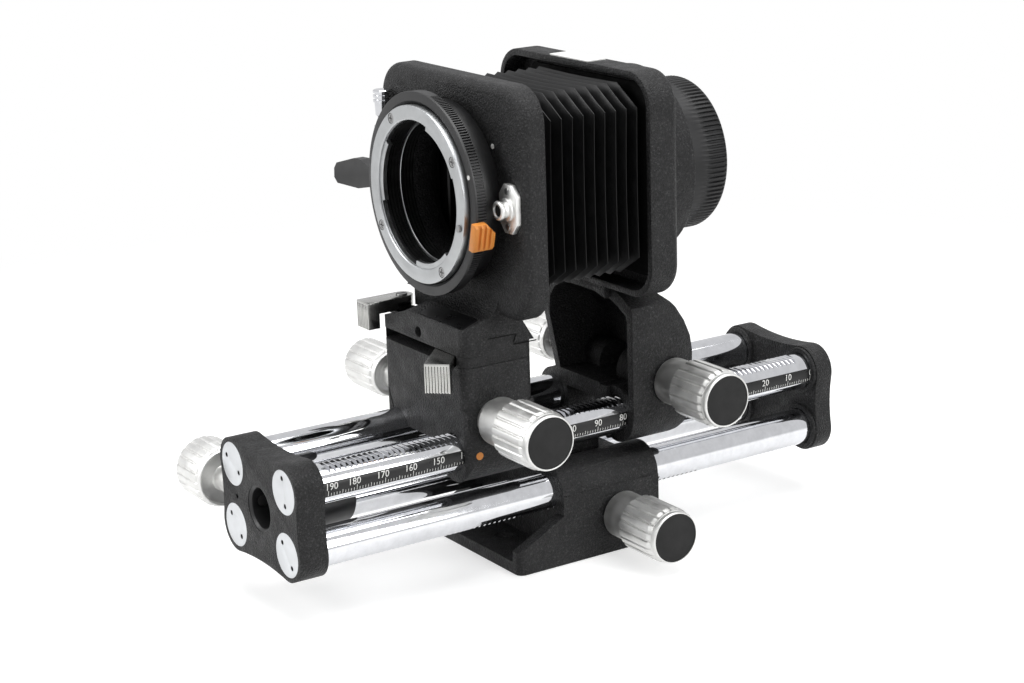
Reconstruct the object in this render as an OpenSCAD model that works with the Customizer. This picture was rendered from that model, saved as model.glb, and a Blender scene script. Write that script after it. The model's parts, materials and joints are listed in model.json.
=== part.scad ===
// Macro bellows unit on four chromed rail tubes, in millimetres.
// X runs across (drive knobs at +X), Y along the rails (lens side at -Y), Z up.
// The origin is the mouth of the tripod socket, on the underside of the base.

/* [Rails] */
// Outside diameter of the four rail tubes
tube_d = 12.5; // [11.5:0.1:13]
// Bore of the rail tubes
tube_bore_d = 6.5; // [4:0.5:7]
// Distance between the left and the right tube centres
tube_span_x = 34; // [33:0.5:37]
// Distance between the lower and the upper tube centres
tube_span_z = 20.3; // [20:0.1:23]
// Height of the lower tube centres above the underside of the base
lower_tube_z = 23.2; // [22.8:0.2:26]
// Overall length of the rails, with both end plates
rail_len = 210; // [205:1:230]
// Distance from the tripod socket to the front end of the rails
rail_front = 114.8; // [110:0.2:120]
// Play between a tube and a piece that slides along it, on the radius
slide_play = 0.05; // [0.03:0.01:0.09]

/* [End plates] */
// Thickness of the front end plate
front_plate_t = 9.8; // [9:0.1:11]
// Thickness of the rear end plate
rear_plate_t = 6.8; // [5.5:0.1:9]
// Radius of the lobe round each tube
lobe_r = 8.6; // [8.2:0.1:9.2]
// Depth of the hollow between two lobes, above and below
lobe_sag_z = 1.3; // [0.8:0.1:2]
// Depth of the hollow between two lobes, at the sides
lobe_sag_x = 0.9; // [0.5:0.1:1.5]
// Radius of the round caps over the tube ends
cap_r = 7.1; // [6.8:0.1:7.4]
// Thickness of the caps
cap_t = 2; // [1.5:0.1:3]
// Radius of the accessory socket's bore
socket_bore_r = 6.5; // [5.5:0.1:6.8]
// Outside radius of the socket's sleeve behind the end plate
sleeve_r = 9.8; // [8.6:0.1:10]
// Length of the sleeve behind the end plate
sleeve_len = 19.4; // [12:0.2:24]

/* [Racks and pinions] */
// Module of the racks and pinions
gear_module = 0.6; // [0.55:0.01:0.65]
// Teeth of the two pinions on the upper rack
upper_teeth = 19; // [18:1:20]
// Teeth of the pinion on the lower rack
lower_teeth = 17; // [17:1:18]
// Height of a rack's pitch line over its tube's centre
rack_pitch_h = 5.25; // [5.1:0.05:5.4]
// Play between the teeth of a rack and its pinion
backlash = 0.12; // [0.08:0.01:0.2]
// Width of a pinion
pinion_w = 7; // [5:0.5:8]
// Radius of a pinion's shaft
shaft_r = 3; // [2.5:0.1:3.4]
// Running clearance of the shafts in their bushes, on the radius
shaft_play = 0.05; // [0.02:0.01:0.09]

/* [Knobs] */
// Radius of the fluted grip of the two upper drive knobs
drive_grip_r = 9.5; // [9:0.1:10.5]
// Radius of the fluted grip of the focusing knob
focus_grip_r = 9.2; // [8.6:0.1:10]
// Radius of the plain collar of a drive knob
collar_r = 7.8; // [7:0.1:8.2]
// Length of that collar
collar_len = 10.4; // [8:0.2:12]
// Length of a drive knob's fluted grip
drive_grip_len = 14.5; // [10:0.5:16]
// Length of the plain rim outside the grip
drive_rim_len = 4; // [3:0.1:5]
// Radius of the black disc in a drive knob's end
disc_r = 8.15; // [7.2:0.05:8.3]
// Radius of the fluted grip of a lock knob
lock_grip_r = 8.4; // [8:0.1:9.5]
// Length of the fluted grip of a lock knob
lock_grip_len = 18; // [14:0.5:20]
// Length of the plain stem of a lock knob
lock_stem_len = 13.8; // [8:0.2:15]
// Radius of the grip of the socket's clamp knob
clamp_grip_r = 10.2; // [9:0.1:11]

/* [Tripod block] */
// Width of the base plate
base_w = 55; // [54:0.5:62]
// Length of the base plate
base_len = 69; // [62:0.5:76]
// Thickness of the base plate
base_t = 4; // [3.5:0.1:5]
// Length of the upright that carries the lower tubes
upright_len = 38; // [34:0.5:44]
// Radius of the tripod socket's thread, measured at the wall
tripod_r = 2.6; // [2.4:0.05:3]
// Radius of the plain hole in the foot
foot_hole_r = 3.2; // [2.6:0.1:4]

/* [Front carriage and swing] */
// Length of the front carriage along the rails
carriage_len = 26; // [25:0.2:28]
// Distance from the tripod socket back to the front carriage's rear face
carriage_rear = 28.1; // [27:0.1:31]
// Half width of the front carriage over the tubes
carriage_half_w = 25.2; // [24.8:0.1:26]
// Height of the front carriage's top
carriage_top = 72.3; // [71:0.1:74]
// Height of the slot for the swing lever
lever_slot_h = 3.6; // [3.2:0.1:4]
// Clearance between the carriage, the swing block and the front block
layer_gap = 0.1; // [0.05:0.01:0.15]
// Radius of the swing pivot
pivot_r = 4; // [3:0.1:4.5]

/* [Standards] */
// Height of the optical axis
axis_z = 123.65; // [123:0.05:126]
// Width of the front frame
front_w = 85; // [82:0.5:88]
// Height of the front frame
front_h = 73; // [70:0.5:74]
// Thickness of the front frame
front_t = 7.6; // [7:0.1:9]
// Width of the rear frame
rear_w = 84.6; // [82:0.2:88]
// Height of the rear frame
rear_h = 72.5; // [70:0.5:74]
// Depth of the rear frame
rear_t = 11.5; // [11:0.1:13]
// Wall of the rear frame's rim
rim_t = 2.3; // [2:0.1:3]
// Distance from the tripod socket back to the rear frame's front edge
rear_front = 5.9; // [5:0.1:9]
// Radius of the round housing behind the rear frame
boss_r = 31.6; // [30.5:0.1:33]
// Depth of that housing
boss_len = 14.7; // [14:0.1:17]
// Wall of the hollow rear leg
leg_wall = 3; // [2.6:0.1:3.4]

/* [Lens mount] */
// Radius of the lens throat
throat_r = 22.7; // [22.2:0.1:23]
// Outside radius of the bayonet ring
bayonet_r = 28.2; // [27.8:0.1:28.6]
// Wall of the release ring outside the bayonet ring
release_wall = 4.1; // [3.6:0.1:5]
// Distance from the front frame's face to the bayonet's face
mount_depth = 12.95; // [12.6:0.05:13.6]

/* [Rear mount] */
// Radius of the rear mount's turning ring in its housing
turn_r = 26.5; // [26:0.1:27]
// Radius of the rear cap
rear_cap_r = 25.5; // [25.1:0.1:25.8]
// Length of the rear cap
rear_cap_len = 18; // [15:0.5:22]

/* [Bellows] */
// Number of folds
folds = 10; // [8:1:12]
// Half width of the folds at their ridges
ridge_x = 32.5; // [31:0.1:34]
// Half height of the folds at their ridges
ridge_z = 31; // [29:0.1:31.5]
// Half width of the folds at their valleys
valley_x = 25; // [24.4:0.1:26]
// Half height of the folds at their valleys
valley_z = 24.4; // [24.2:0.1:25]
// Thickness of the folded skin
skin_t = 0.8; // [0.6:0.1:1.1]

/* [Hidden] */
$fn = 96;

// Small clearances that repeat
seat = 0.02;         // a fixed piece in its bore, on the radius
side_gap = 0.3;      // a turning collar before the face beside it
cut = 1;             // how far a cutter runs past the face it cuts

// The rails
tube_r = tube_d / 2;
half_span = tube_span_x / 2;
upper_z = lower_tube_z + tube_span_z;
mid_z = lower_tube_z + tube_span_z / 2;
rail_y0 = -rail_front;
rail_y1 = rail_len - rail_front;
plate_y0 = rail_y0 + front_plate_t;
plate_y1 = rail_y1 - rear_plate_t;
tube_y0 = rail_y0 + cap_t;
tube_y1 = rail_y1 - cap_t;
run_r = tube_r + slide_play;
spanner_r = 0.8;
spanner_at = 4.4;
cap_turns = [152.7, 97.2, 134.6, 128.5];
collar_h = 1;
clamp_y = rail_y0 + front_plate_t / 2;
clamp_screw_r = 2;

// The scale strip lies in a shallow bed along the upper right tube
strip_t = 0.25;
strip_from = -23.7;
strip_to = 20.6;
strip_end = 0.6;

// The racks and pinions
pitch = PI * gear_module;
pressure = 20;
dedendum = 1.25 * gear_module;
rack_tip_h = rack_pitch_h + gear_module;
rack_root_h = rack_pitch_h - dedendum;
rack_margin = 3.4;
rack_len = plate_y1 - plate_y0 - 2 * rack_margin;
rack_teeth = floor(rack_len / pitch);
rack_y0 = plate_y0 + rack_margin;
upper_pitch_r = gear_module * upper_teeth / 2;
lower_pitch_r = gear_module * lower_teeth / 2;
drive_z = upper_z + rack_pitch_h + upper_pitch_r;
focus_z = lower_tube_z - rack_pitch_h - lower_pitch_r;
pinion_x0 = half_span - pinion_w / 2;
pinion_x1 = half_span + pinion_w / 2;
pocket_gap = 0.3;
trunnion_r = 2;
trunnion_len = 4.5;
bush_x0 = half_span + tube_r + 0.4;
bush_x1 = 26.7;
front_drive_y = -43.4;
rear_drive_y = 24.8;
focus_y = 3.6;

// The knobs
knob_x = 27;
disc_t = 1;
shaft_end = 10;
lock_x = -carriage_half_w;
lock_screw_in = 12;
front_lock_y = front_drive_y;
rear_lock_y = rear_drive_y;
rear_lock_x = -19;
rear_stem_r = 4;
rear_stem_len = lock_stem_len + 6.2;

// The tripod block
upright_w = 53;
upright_lobe_r = 9.3;
saddle_z = 27;
spine_w = 18;
spine_top = 35;
spine_rear = 7.4;
web_t = 4;
base_r = 10;
foot_hole_y = -25.6;
tripod_depth = 5.4;
block_lobe_top = lower_tube_z + upright_lobe_r;

// The front carriage, the swing block and the front block
carr_y1 = -carriage_rear;
carr_y0 = carr_y1 - carriage_len;
carr_lobe_r = 9.7;
edge_r = 3.5;
swing_y = -40.9;
slot_z0 = carriage_top + layer_gap;
slot_z1 = carriage_top + lever_slot_h;
lever_t = 3.3;
lever_angle = -43;
hub_r = 8;
slot_wall = 1.4;
tongue_y = -39.85;
tongue_top_w = 10.5;
tongue_foot_w = 8.2;
tongue_h = 2.8;
shoulder_z = slot_z1 + 2.1;
tongue_x0 = -14;
tongue_z = shoulder_z + tongue_h;
apron_y = -46.4;
block_half_w = carriage_half_w + 0.3;
block_top = 87.3;
bevel_z = 84.7;
bevel_y = -46.9;
pivot_z0 = 58;
arm_half_w = 3.7;
shift_x = -block_half_w - arm_half_w;
shift_y = swing_y - 2.8;
shift_z = block_top - 3.3;
ear_z = shoulder_z + 1.8;

// The frames
front_z0 = axis_z - 36.65;
front_y0 = swing_y;
front_y1 = front_y0 + front_t;
rear_z0 = axis_z - 36.65;
rear_y0 = rear_front;
rear_y1 = rear_y0 + rear_t;
boss_y1 = rear_y1 + boss_len;
recess_y = rear_y1 - 4;
frame_r = 11.5;
round_r = 3;
light_r = 24;

// The lens mount
face_y = front_y0 - mount_depth;
release_r = bayonet_r + release_wall;
bayonet_t = 2.45;
nose_y = face_y + bayonet_t;
release_y0 = face_y + 1.65;
release_y1 = release_y0 + 4.1;
housing_r = bayonet_r + 0.6;
lever_y0 = front_y0 - 4;
lever_y1 = front_y0 - 0.3;
plunger_x = -housing_r - 6.7;
lever_reach = housing_r + 40.6;
plunger_y = front_y0 - 3.2;
lock_pin_r = 1.1;
lock_pin_at = bayonet_r - 2.2;
screw_ring_r = bayonet_r - 2.05;
screw_head_r = 1.55;
claw_gap = 28;
lock_pin_turn = -14;
tab_turn = -14;

// The bellows
plate_t = 1.2;
bellows_y0 = front_y1 + plate_t;
bellows_y1 = recess_y - plate_t;
collar_y = 1.75;
fold_pitch = (bellows_y1 - bellows_y0 - 2 * collar_y) / folds;
ridge_chamfer_x = 10.5;
ridge_chamfer_z = 6.8;
valley_chamfer = 1.1;

// ---- shapes that repeat ----

module x_cyl(r, x0, x1, y, z) {
    translate([x0, y, z]) rotate([0, 90, 0]) cylinder(r = r, h = x1 - x0);
}
module y_cyl(r, y0, y1, x, z) {
    translate([x, y0, z]) rotate([-90, 0, 0]) cylinder(r = r, h = y1 - y0);
}
module z_cyl(r, z0, z1, x, y) {
    translate([x, y, z0]) cylinder(r = r, h = z1 - z0);
}
module box(x0, x1, y0, y1, z0, z1) {
    translate([x0, y0, z0]) cube([x1 - x0, y1 - y0, z1 - z0]);
}
// Extrudes an outline drawn in X and Z from y0 to y1
module along_y(y0, y1) {
    translate([0, y1, 0]) rotate([90, 0, 0]) linear_extrude(y1 - y0) children();
}
// Extrudes an outline drawn in Y and Z from x0 to x1
module along_x(x0, x1) {
    translate([x0, 0, 0]) rotate([90, 0, 90]) linear_extrude(x1 - x0) children();
}
// Turns an outline of [radius, x] about a line along X
module x_turned(y, z) {
    translate([0, y, z]) rotate([0, 90, 0]) rotate_extrude() children();
}
// Turns an outline of [radius, y] about a line along Y
module y_turned(x, z) {
    translate([x, 0, z]) rotate([-90, 0, 0]) rotate_extrude() children();
}
// A rectangle with round corners
module round_rect(x0, x1, y0, y1, r) {
    translate([x0 + r, y0]) square([x1 - x0 - 2 * r, y1 - y0]);
    translate([x0, y0 + r]) square([x1 - x0, y1 - y0 - 2 * r]);
    for (x = [x0 + r, x1 - r], y = [y0 + r, y1 - r]) translate([x, y]) circle(r);
}
// An upright plate with round corners whose edge at y0 is rounded off
module soft_plate(half_w, z0, z1, y0, y1, corner, edge) {
    along_y(y0 + edge, y1) round_rect(-half_w, half_w, z0, z1, corner);
    along_y(y0, y1) round_rect(-half_w + edge, half_w - edge, z0 + edge, z1 - edge, corner - edge);
    for (x = [-half_w + edge, half_w - edge])
        z_cyl(edge, z0 + corner, z1 - corner, x, y0 + edge);
    for (z = [z0 + edge, z1 - edge])
        x_cyl(edge, -half_w + corner, half_w - corner, y0 + edge, z);
    for (sx = [-1, 1], sz = [0, 1])
        translate([sx * (half_w - corner), y0 + edge, sz ? z1 - corner : z0 + corner])
            rotate([90, 0, 0]) rotate_extrude() translate([corner - edge, 0]) intersection() {
                circle(edge);
                translate([0, -edge]) square(2 * edge);
            }
}

// ---- gears ----

function inv(a) = tan(a) * 180 / PI - a;
function base_radius(z) = gear_module * z / 2 * cos(pressure);
// Half the angle of a tooth at radius r
function half_tooth(z, r) =
    90 / z - backlash / 4 / (gear_module * z / 2) * 180 / PI
    + inv(pressure) - inv(acos(min(1, base_radius(z) / r)));
function polar(r, a) = [r * cos(a), r * sin(a)];
module gear_outline(z) {
    root = gear_module * z / 2 - dedendum;
    tip = gear_module * z / 2 + gear_module;
    low = max(base_radius(z), root) + 0.01;
    radii = [for (k = [0:4]) low + (tip - low) * k / 4];
    polygon([for (i = [0:z - 1], p = concat(
        [polar(root, i * 360 / z - half_tooth(z, low))],
        [for (r = radii) polar(r, i * 360 / z - half_tooth(z, r))],
        [for (k = [4:-1:0]) polar(radii[k], i * 360 / z + half_tooth(z, radii[k]))],
        [polar(root, i * 360 / z + half_tooth(z, low))])) p]);
}
// Distance along +Y from y to the middle of the nearest gap of a rack
function to_gap(y) =
    let (n = round((y - rack_y0) / pitch - 0.5)) rack_y0 + (n + 0.5) * pitch - y;
// A pinion with its shaft; side is -1 above its rack and 1 below it
module pinion(z, y, height, side, x_end) {
    pitch_r = gear_module * z / 2;
    mesh = to_gap(y) / pitch_r * 180 / PI;
    translate([pinion_x0, y, height]) rotate([side * 90 - side * mesh, 0, 0])
        rotate([90, 0, 90]) linear_extrude(pinion_w) gear_outline(z);
    x_cyl(trunnion_r, pinion_x0 - trunnion_len, pinion_x0 + cut, y, height);
    x_cyl(shaft_r, pinion_x1 - cut, x_end, y, height);
}
// What a rack's cutter takes off the top of a tube: the flat and all tooth gaps
module rack_cutter() {
    gap_half = (pitch / 2 + backlash / 2) / 2;
    slope = tan(pressure);
    root_half = gap_half - dedendum * slope;
    tip_half = gap_half + gear_module * slope;
    end = rack_y0 + rack_teeth * pitch;
    polygon(concat([[rack_y0, tube_r + cut], [rack_y0, rack_tip_h]],
        [for (i = [0:rack_teeth - 1], p = [[-tip_half, rack_tip_h], [-root_half, rack_root_h],
            [root_half, rack_root_h], [tip_half, rack_tip_h]])
            [rack_y0 + (i + 0.5) * pitch + p[0], p[1]]],
        [[end, rack_tip_h], [end, tube_r + cut]]));
}

// ---- tripod block and focusing drive ----

// The pocket of a pinion, open at the right, with the bearing for its left end
module pinion_pocket(z, y, height) {
    pocket_r = gear_module * z / 2 + gear_module + pocket_gap;
    x_cyl(pocket_r, pinion_x0 - 0.7, knob_x + cut, y, height);
    x_cyl(trunnion_r + shaft_play, pinion_x0 - trunnion_len - 0.5, pinion_x0, y, height);
}
module pinion_bush(z, y, height, x_end) {
    pocket_r = gear_module * z / 2 + gear_module + pocket_gap;
    difference() {
        x_cyl(pocket_r - seat, bush_x0, x_end, y, height);
        x_cyl(shaft_r + shaft_play, bush_x0 - cut, x_end + cut, y, height);
    }
}
module base_outline() {
    round_rect(-base_w / 2, base_w / 2, -base_len / 2, base_len / 2, base_r);
}
module web_outline() {
    y0 = -base_len / 2;
    y1 = -upright_len / 2;
    polygon([[y0, base_t], [y0, base_t + 1.5], [y1 - 6, 12.4], [y1 - 3.6, 14.2],
        [y1 - 1.8, 16.6], [y1 - 0.6, 19.4], [y1, 23], [y1 + 2, 23], [y1 + 2, base_t]]);
}
module tripod_block() {
    half_up = upright_len / 2;
    color("dimgray") difference() {
        union() {
            linear_extrude(base_t) base_outline();
            along_y(-half_up, half_up) {
                translate([-upright_w / 2, 0]) square([upright_w, lower_tube_z]);
                translate([-half_span, lower_tube_z]) square([tube_span_x, saddle_z - lower_tube_z]);
                for (x = [-half_span, half_span])
                    translate([x, lower_tube_z]) circle(upright_lobe_r);
            }
            box(-spine_w / 2, spine_w / 2, -half_up, spine_rear, base_t, spine_top);
            intersection() {
                for (x = [-upright_w / 2, upright_w / 2 - web_t], s = [0, 1])
                    mirror([0, s, 0]) along_x(x, x + web_t) web_outline();
                linear_extrude(lower_tube_z) base_outline();
            }
        }
        for (x = [-half_span, half_span])
            y_cyl(run_r, -half_up - cut, half_up + cut, x, lower_tube_z);
        pinion_pocket(lower_teeth, focus_y, focus_z);
        x_cyl(shaft_r + shaft_play, -base_w, -upright_w / 2 + lock_screw_in, focus_y, focus_z);
        z_cyl(foot_hole_r, -cut, base_t + cut, 0, foot_hole_y);
        z_cyl(tripod_r, -cut, tripod_depth, 0, 0);
    }
}
module focus_pinion_bush() {
    color("silver") pinion_bush(lower_teeth, focus_y, focus_z, bush_x1);
}
module focus_pinion() {
    color("gray") pinion(lower_teeth, focus_y, focus_z, 1, knob_x + shaft_end);
}

// ---- knobs ----

// A round bar along X from x0 to x1 with flutes round it
module fluted(r, count, flute_r, x0, x1, y, z) {
    translate([x0, y, z]) rotate([0, 90, 0]) linear_extrude(x1 - x0) difference() {
        circle(r);
        for (i = [0:count - 1]) rotate(i * 360 / count) translate([r + flute_r * 0.25, 0])
            circle(flute_r);
    }
}
module drive_knob(grip_r, flutes, y, z) {
    x0 = knob_x + side_gap;
    x1 = x0 + collar_len;
    x2 = x1 + drive_grip_len;
    x3 = x2 + drive_rim_len;
    face_r = disc_r + 0.5;
    color("silver") difference() {
        union() {
            x_turned(y, z) polygon([[0, x0], [collar_r - 0.5, x0], [collar_r, x0 + 0.5],
                [collar_r, x1 - 1.4], [collar_r - 0.7, x1 - 1.4], [collar_r - 0.7, x1], [0, x1]]);
            fluted(grip_r, flutes, 0.85, x1, x2, y, z);
            x_turned(y, z) polygon([[0, x2], [grip_r - 0.6, x2], [grip_r - 0.6, x2 + 0.6],
                [grip_r, x2 + 0.6], [grip_r, x3 - 1], [face_r, x3], [0, x3]]);
        }
        x_cyl(disc_r + seat, x3 - disc_t, x3 + cut, y, z);
        x_cyl(shaft_r, x0 - cut, knob_x + shaft_end, y, z);
    }
}
module knob_disc(y, z) {
    x3 = knob_x + side_gap + collar_len + drive_grip_len + drive_rim_len;
    color("black") x_cyl(disc_r, x3 - disc_t, x3 - 0.2, y, z);
}
module lock_screw(x_tip, x_head, y, z) {
    color("gray") x_cyl(shaft_r, x_head, x_tip, y, z);
}
// A lock knob whose stem starts at x0 and runs towards -X
module lock_knob(x0, stem_r, ring_r, grip_r, stem_len, grip_len, y, z) {
    x1 = x0 - stem_len;
    x2 = x1 - grip_len;
    color("silver") difference() {
        union() {
            x_turned(y, z) polygon([[0, x0], [stem_r, x0], [stem_r, x1 + 2.2], [ring_r - 0.4, x1 + 2],
                [ring_r, x1 + 1.6], [ring_r, x1 + 0.4], [ring_r - 0.6, x1], [0, x1]]);
            fluted(grip_r, 22, 0.7, x2 + 1, x1, y, z);
            x_turned(y, z) polygon([[0, x2 + 1], [grip_r - 0.2, x2 + 1], [grip_r - 1.2, x2], [0, x2]]);
        }
        x_cyl(shaft_r, x1 - grip_len / 2, x0 + cut, y, z);
    }
}
module focus_knob() {
    drive_knob(focus_grip_r, 26, focus_y, focus_z);
}
module focus_knob_disc() {
    knob_disc(focus_y, focus_z);
}
module focus_lock_knob() {
    lock_knob(-upright_w / 2 - side_gap, 4.6, 7.9, lock_grip_r, lock_stem_len, lock_grip_len,
        focus_y, focus_z);
}
module focus_lock_screw() {
    lock_screw(-upright_w / 2 + lock_screw_in - cut, -upright_w / 2 - lock_stem_len - lock_grip_len / 2,
        focus_y, focus_z);
}

// ---- rails ----

// The outline of an end plate: four lobes joined by shallow arcs that meet them smoothly
module lobed_outline(grow) {
    hx = half_span;
    hz = tube_span_z / 2;
    r = lobe_r + grow;
    rz = (hx * hx - 2 * lobe_r * lobe_sag_z + lobe_sag_z * lobe_sag_z) / (2 * lobe_sag_z);
    rx = (hz * hz - 2 * lobe_r * lobe_sag_x + lobe_sag_x * lobe_sag_x) / (2 * lobe_sag_x);
    tx = hx * rz / (rz + lobe_r);
    tz = hz * rx / (rx + lobe_r);
    translate([0, mid_z]) difference() {
        union() {
            for (x = [-hx, hx], z = [-hz, hz]) translate([x, z]) circle(r);
            square([2 * tx, 2 * (hz + r)], center = true);
            square([2 * (hx + r), 2 * tz], center = true);
        }
        for (s = [-1, 1]) {
            translate([0, s * (hz + lobe_r - lobe_sag_z + rz)]) circle(rz - grow);
            translate([s * (hx + lobe_r - lobe_sag_x + rx), 0]) circle(rx - grow);
        }
    }
}
module at_tubes() {
    for (i = [0:3])
        translate([(i % 2 ? 1 : -1) * half_span, 0, i < 2 ? upper_z : lower_tube_z])
            rotate([0, -cap_turns[i], 0]) children();
}
module front_end_plate() {
    color("dimgray") difference() {
        along_y(rail_y0, plate_y0) lobed_outline(0);
        at_tubes() {
            y_cyl(tube_r + seat, rail_y0, plate_y0 + cut, 0, 0);
            y_cyl(cap_r + seat, rail_y0 - cut, tube_y0, 0, 0);
        }
        y_cyl(socket_bore_r + 0.9 + seat, rail_y0 - cut, plate_y0 + cut, 0, mid_z);
        y_cyl(0.8, rail_y0 - cut, rail_y0 + 3, -15, mid_z);
        x_cyl(clamp_screw_r + shaft_play, -half_span - lobe_r - cut, 0, clamp_y, mid_z);
    }
}
module rear_end_plate() {
    color("dimgray") difference() {
        union() {
            along_y(plate_y1, rail_y1) lobed_outline(0);
            at_tubes() y_cyl(lobe_r - 0.6, plate_y1 - collar_h, plate_y1 + cut, 0, 0);
        }
        at_tubes() {
            y_cyl(tube_r + seat, plate_y1 - collar_h - cut, rail_y1, 0, 0);
            y_cyl(cap_r + seat, tube_y1, rail_y1 + cut, 0, 0);
        }
    }
}
module cap(y0, y1, face) {
    difference() {
        y_cyl(cap_r, y0, y1, 0, 0);
        for (s = [-1, 1]) y_cyl(spanner_r, face - 1.2, face + 1.2, s * spanner_at, 0);
    }
}
module front_tube_caps() {
    color("silver") at_tubes() cap(rail_y0, tube_y0, rail_y0);
}
module rear_tube_caps() {
    color("silver") at_tubes() cap(tube_y1, rail_y1, rail_y1);
}
module plain_tube(x, z) {
    difference() {
        y_cyl(tube_r, tube_y0, tube_y1, x, z);
        y_cyl(tube_bore_d / 2, tube_y0 - cut, tube_y1 + cut, x, z);
    }
}
module upper_left_tube() {
    color("gainsboro") plain_tube(-half_span, upper_z);
}
module lower_left_tube() {
    color("gainsboro") plain_tube(-half_span, lower_tube_z);
}
// A band along the upper right tube, between two radii, as wide as the scale
module strip_band(r0, r1, y0, y1) {
    translate([half_span, y0, upper_z]) rotate([-90, 0, 0]) rotate([0, 0, -strip_to])
        rotate_extrude(angle = strip_to - strip_from)
            translate([r0, 0]) square([r1 - r0, y1 - y0]);
}
module upper_right_tube() {
    color("gainsboro") difference() {
        plain_tube(half_span, upper_z);
        translate([0, 0, upper_z]) along_x(half_span - tube_r, half_span + tube_r) rack_cutter();
        strip_band(tube_r - strip_t, tube_r + cut, plate_y0 + strip_end, plate_y1 - collar_h - strip_end);
    }
}
module lower_right_tube() {
    color("gainsboro") difference() {
        plain_tube(half_span, lower_tube_z);
        translate([0, 0, lower_tube_z]) mirror([0, 0, 1])
            along_x(half_span - tube_r, half_span + tube_r) rack_cutter();
    }
}
module scale_strip() {
    color("black")
        strip_band(tube_r - strip_t, tube_r, plate_y0 + strip_end, plate_y1 - collar_h - strip_end);
}
module socket_sleeve() {
    nose_r = socket_bore_r + 0.9;
    color("dimgray") difference() {
        y_turned(0, mid_z) polygon([[nose_r, rail_y0 + 0.2], [nose_r, plate_y0], [sleeve_r, plate_y0],
            [sleeve_r, plate_y0 + sleeve_len - 0.5], [sleeve_r - 0.5, plate_y0 + sleeve_len],
            [socket_bore_r, plate_y0 + sleeve_len], [socket_bore_r, rail_y0 + 0.9]]);
        x_cyl(clamp_screw_r + shaft_play, -nose_r - cut, 0, clamp_y, mid_z);
    }
}
module socket_clamp_knob() {
    lock_knob(-half_span - lobe_r - side_gap, 4.2, 7.35, clamp_grip_r, 8.4, 15, clamp_y, mid_z);
}
module socket_clamp_screw() {
    color("gray") x_cyl(clamp_screw_r, -half_span - lobe_r - 14, -socket_bore_r - 0.1, clamp_y, mid_z);
    color("gray") x_cyl(shaft_r, -half_span - lobe_r - 16.2, -half_span - lobe_r - side_gap, clamp_y, mid_z);
}

// ---- front carriage ----

module carriage_outline() {
    w = carriage_half_w;
    translate([-w, upper_z + 6]) square([2 * w, 9]);
    translate([-half_span, upper_z + 1.5]) square([tube_span_x, 5]);
    translate([half_span, upper_z]) circle(carr_lobe_r);
    polygon([[half_span, upper_z], [half_span + carr_lobe_r, upper_z], [half_span + carr_lobe_r, upper_z + 2],
        [w, upper_z + 10], [half_span, upper_z + 10]]);
    polygon([[9, upper_z + 2], [9, upper_z - 4.5], [12.5, upper_z - 9], [half_span, upper_z - carr_lobe_r],
        [half_span, upper_z + 2]]);
    polygon([[-w, upper_z + 6.5], [-w, upper_z + 5.8], [-w + 2.5, upper_z + 3.5], [-half_span, upper_z + 3.5],
        [-half_span, upper_z + 6.5]]);
}
module front_carriage() {
    w = carriage_half_w;
    color("dimgray") difference() {
        union() {
            intersection() {
                along_y(carr_y0, carr_y1) carriage_outline();
                linear_extrude(carriage_top)
                    round_rect(-w, half_span + carr_lobe_r, carr_y0, carr_y1, edge_r);
            }
            translate([0, 0, upper_z + 12]) linear_extrude(carriage_top - upper_z - 12)
                round_rect(-w, w, carr_y0, carr_y1, edge_r);
        }
        for (x = [-half_span, half_span])
            y_cyl(run_r, carr_y0 - cut, carr_y1 + cut, x, upper_z);
        pinion_pocket(upper_teeth, front_drive_y, drive_z);
        x_cyl(shaft_r + shaft_play, -w - cut, -w + lock_screw_in, front_lock_y, drive_z);
        along_y(carr_y0 - cut, carr_y1 + cut)
            polygon([[-w + 1.6, drive_z + 3.2], [-w + 5.6, upper_z + 5], [-w + 6.2, upper_z + 5], [-w + 2.2, drive_z + 3.2]]);
        z_cyl(pivot_r + shaft_play, pivot_z0, carriage_top + cut, 0, swing_y);
        x_cyl(1.25 + seat, 26, 28, -50.4, upper_z + 0.5);
    }
}
module index_dot() {
    color("orange") x_cyl(1.25, 26, half_span + carr_lobe_r + 0.05, -50.4, upper_z + 0.5);
}
module front_pinion_bush() {
    color("silver") pinion_bush(upper_teeth, front_drive_y, drive_z, bush_x1);
}
module front_pinion() {
    color("gray") pinion(upper_teeth, front_drive_y, drive_z, -1, knob_x + shaft_end);
}
module front_drive_knob() {
    drive_knob(drive_grip_r, 20, front_drive_y, drive_z);
}
module front_drive_disc() {
    knob_disc(front_drive_y, drive_z);
}
module front_lock_knob() {
    lock_knob(lock_x - side_gap, 4.6, 7.9, lock_grip_r, lock_stem_len, lock_grip_len,
        front_lock_y, drive_z);
}
module front_lock_screw() {
    lock_screw(lock_x + lock_screw_in - cut, lock_x - lock_stem_len - lock_grip_len / 2,
        front_lock_y, drive_z);
}

// ---- swing ----

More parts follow.
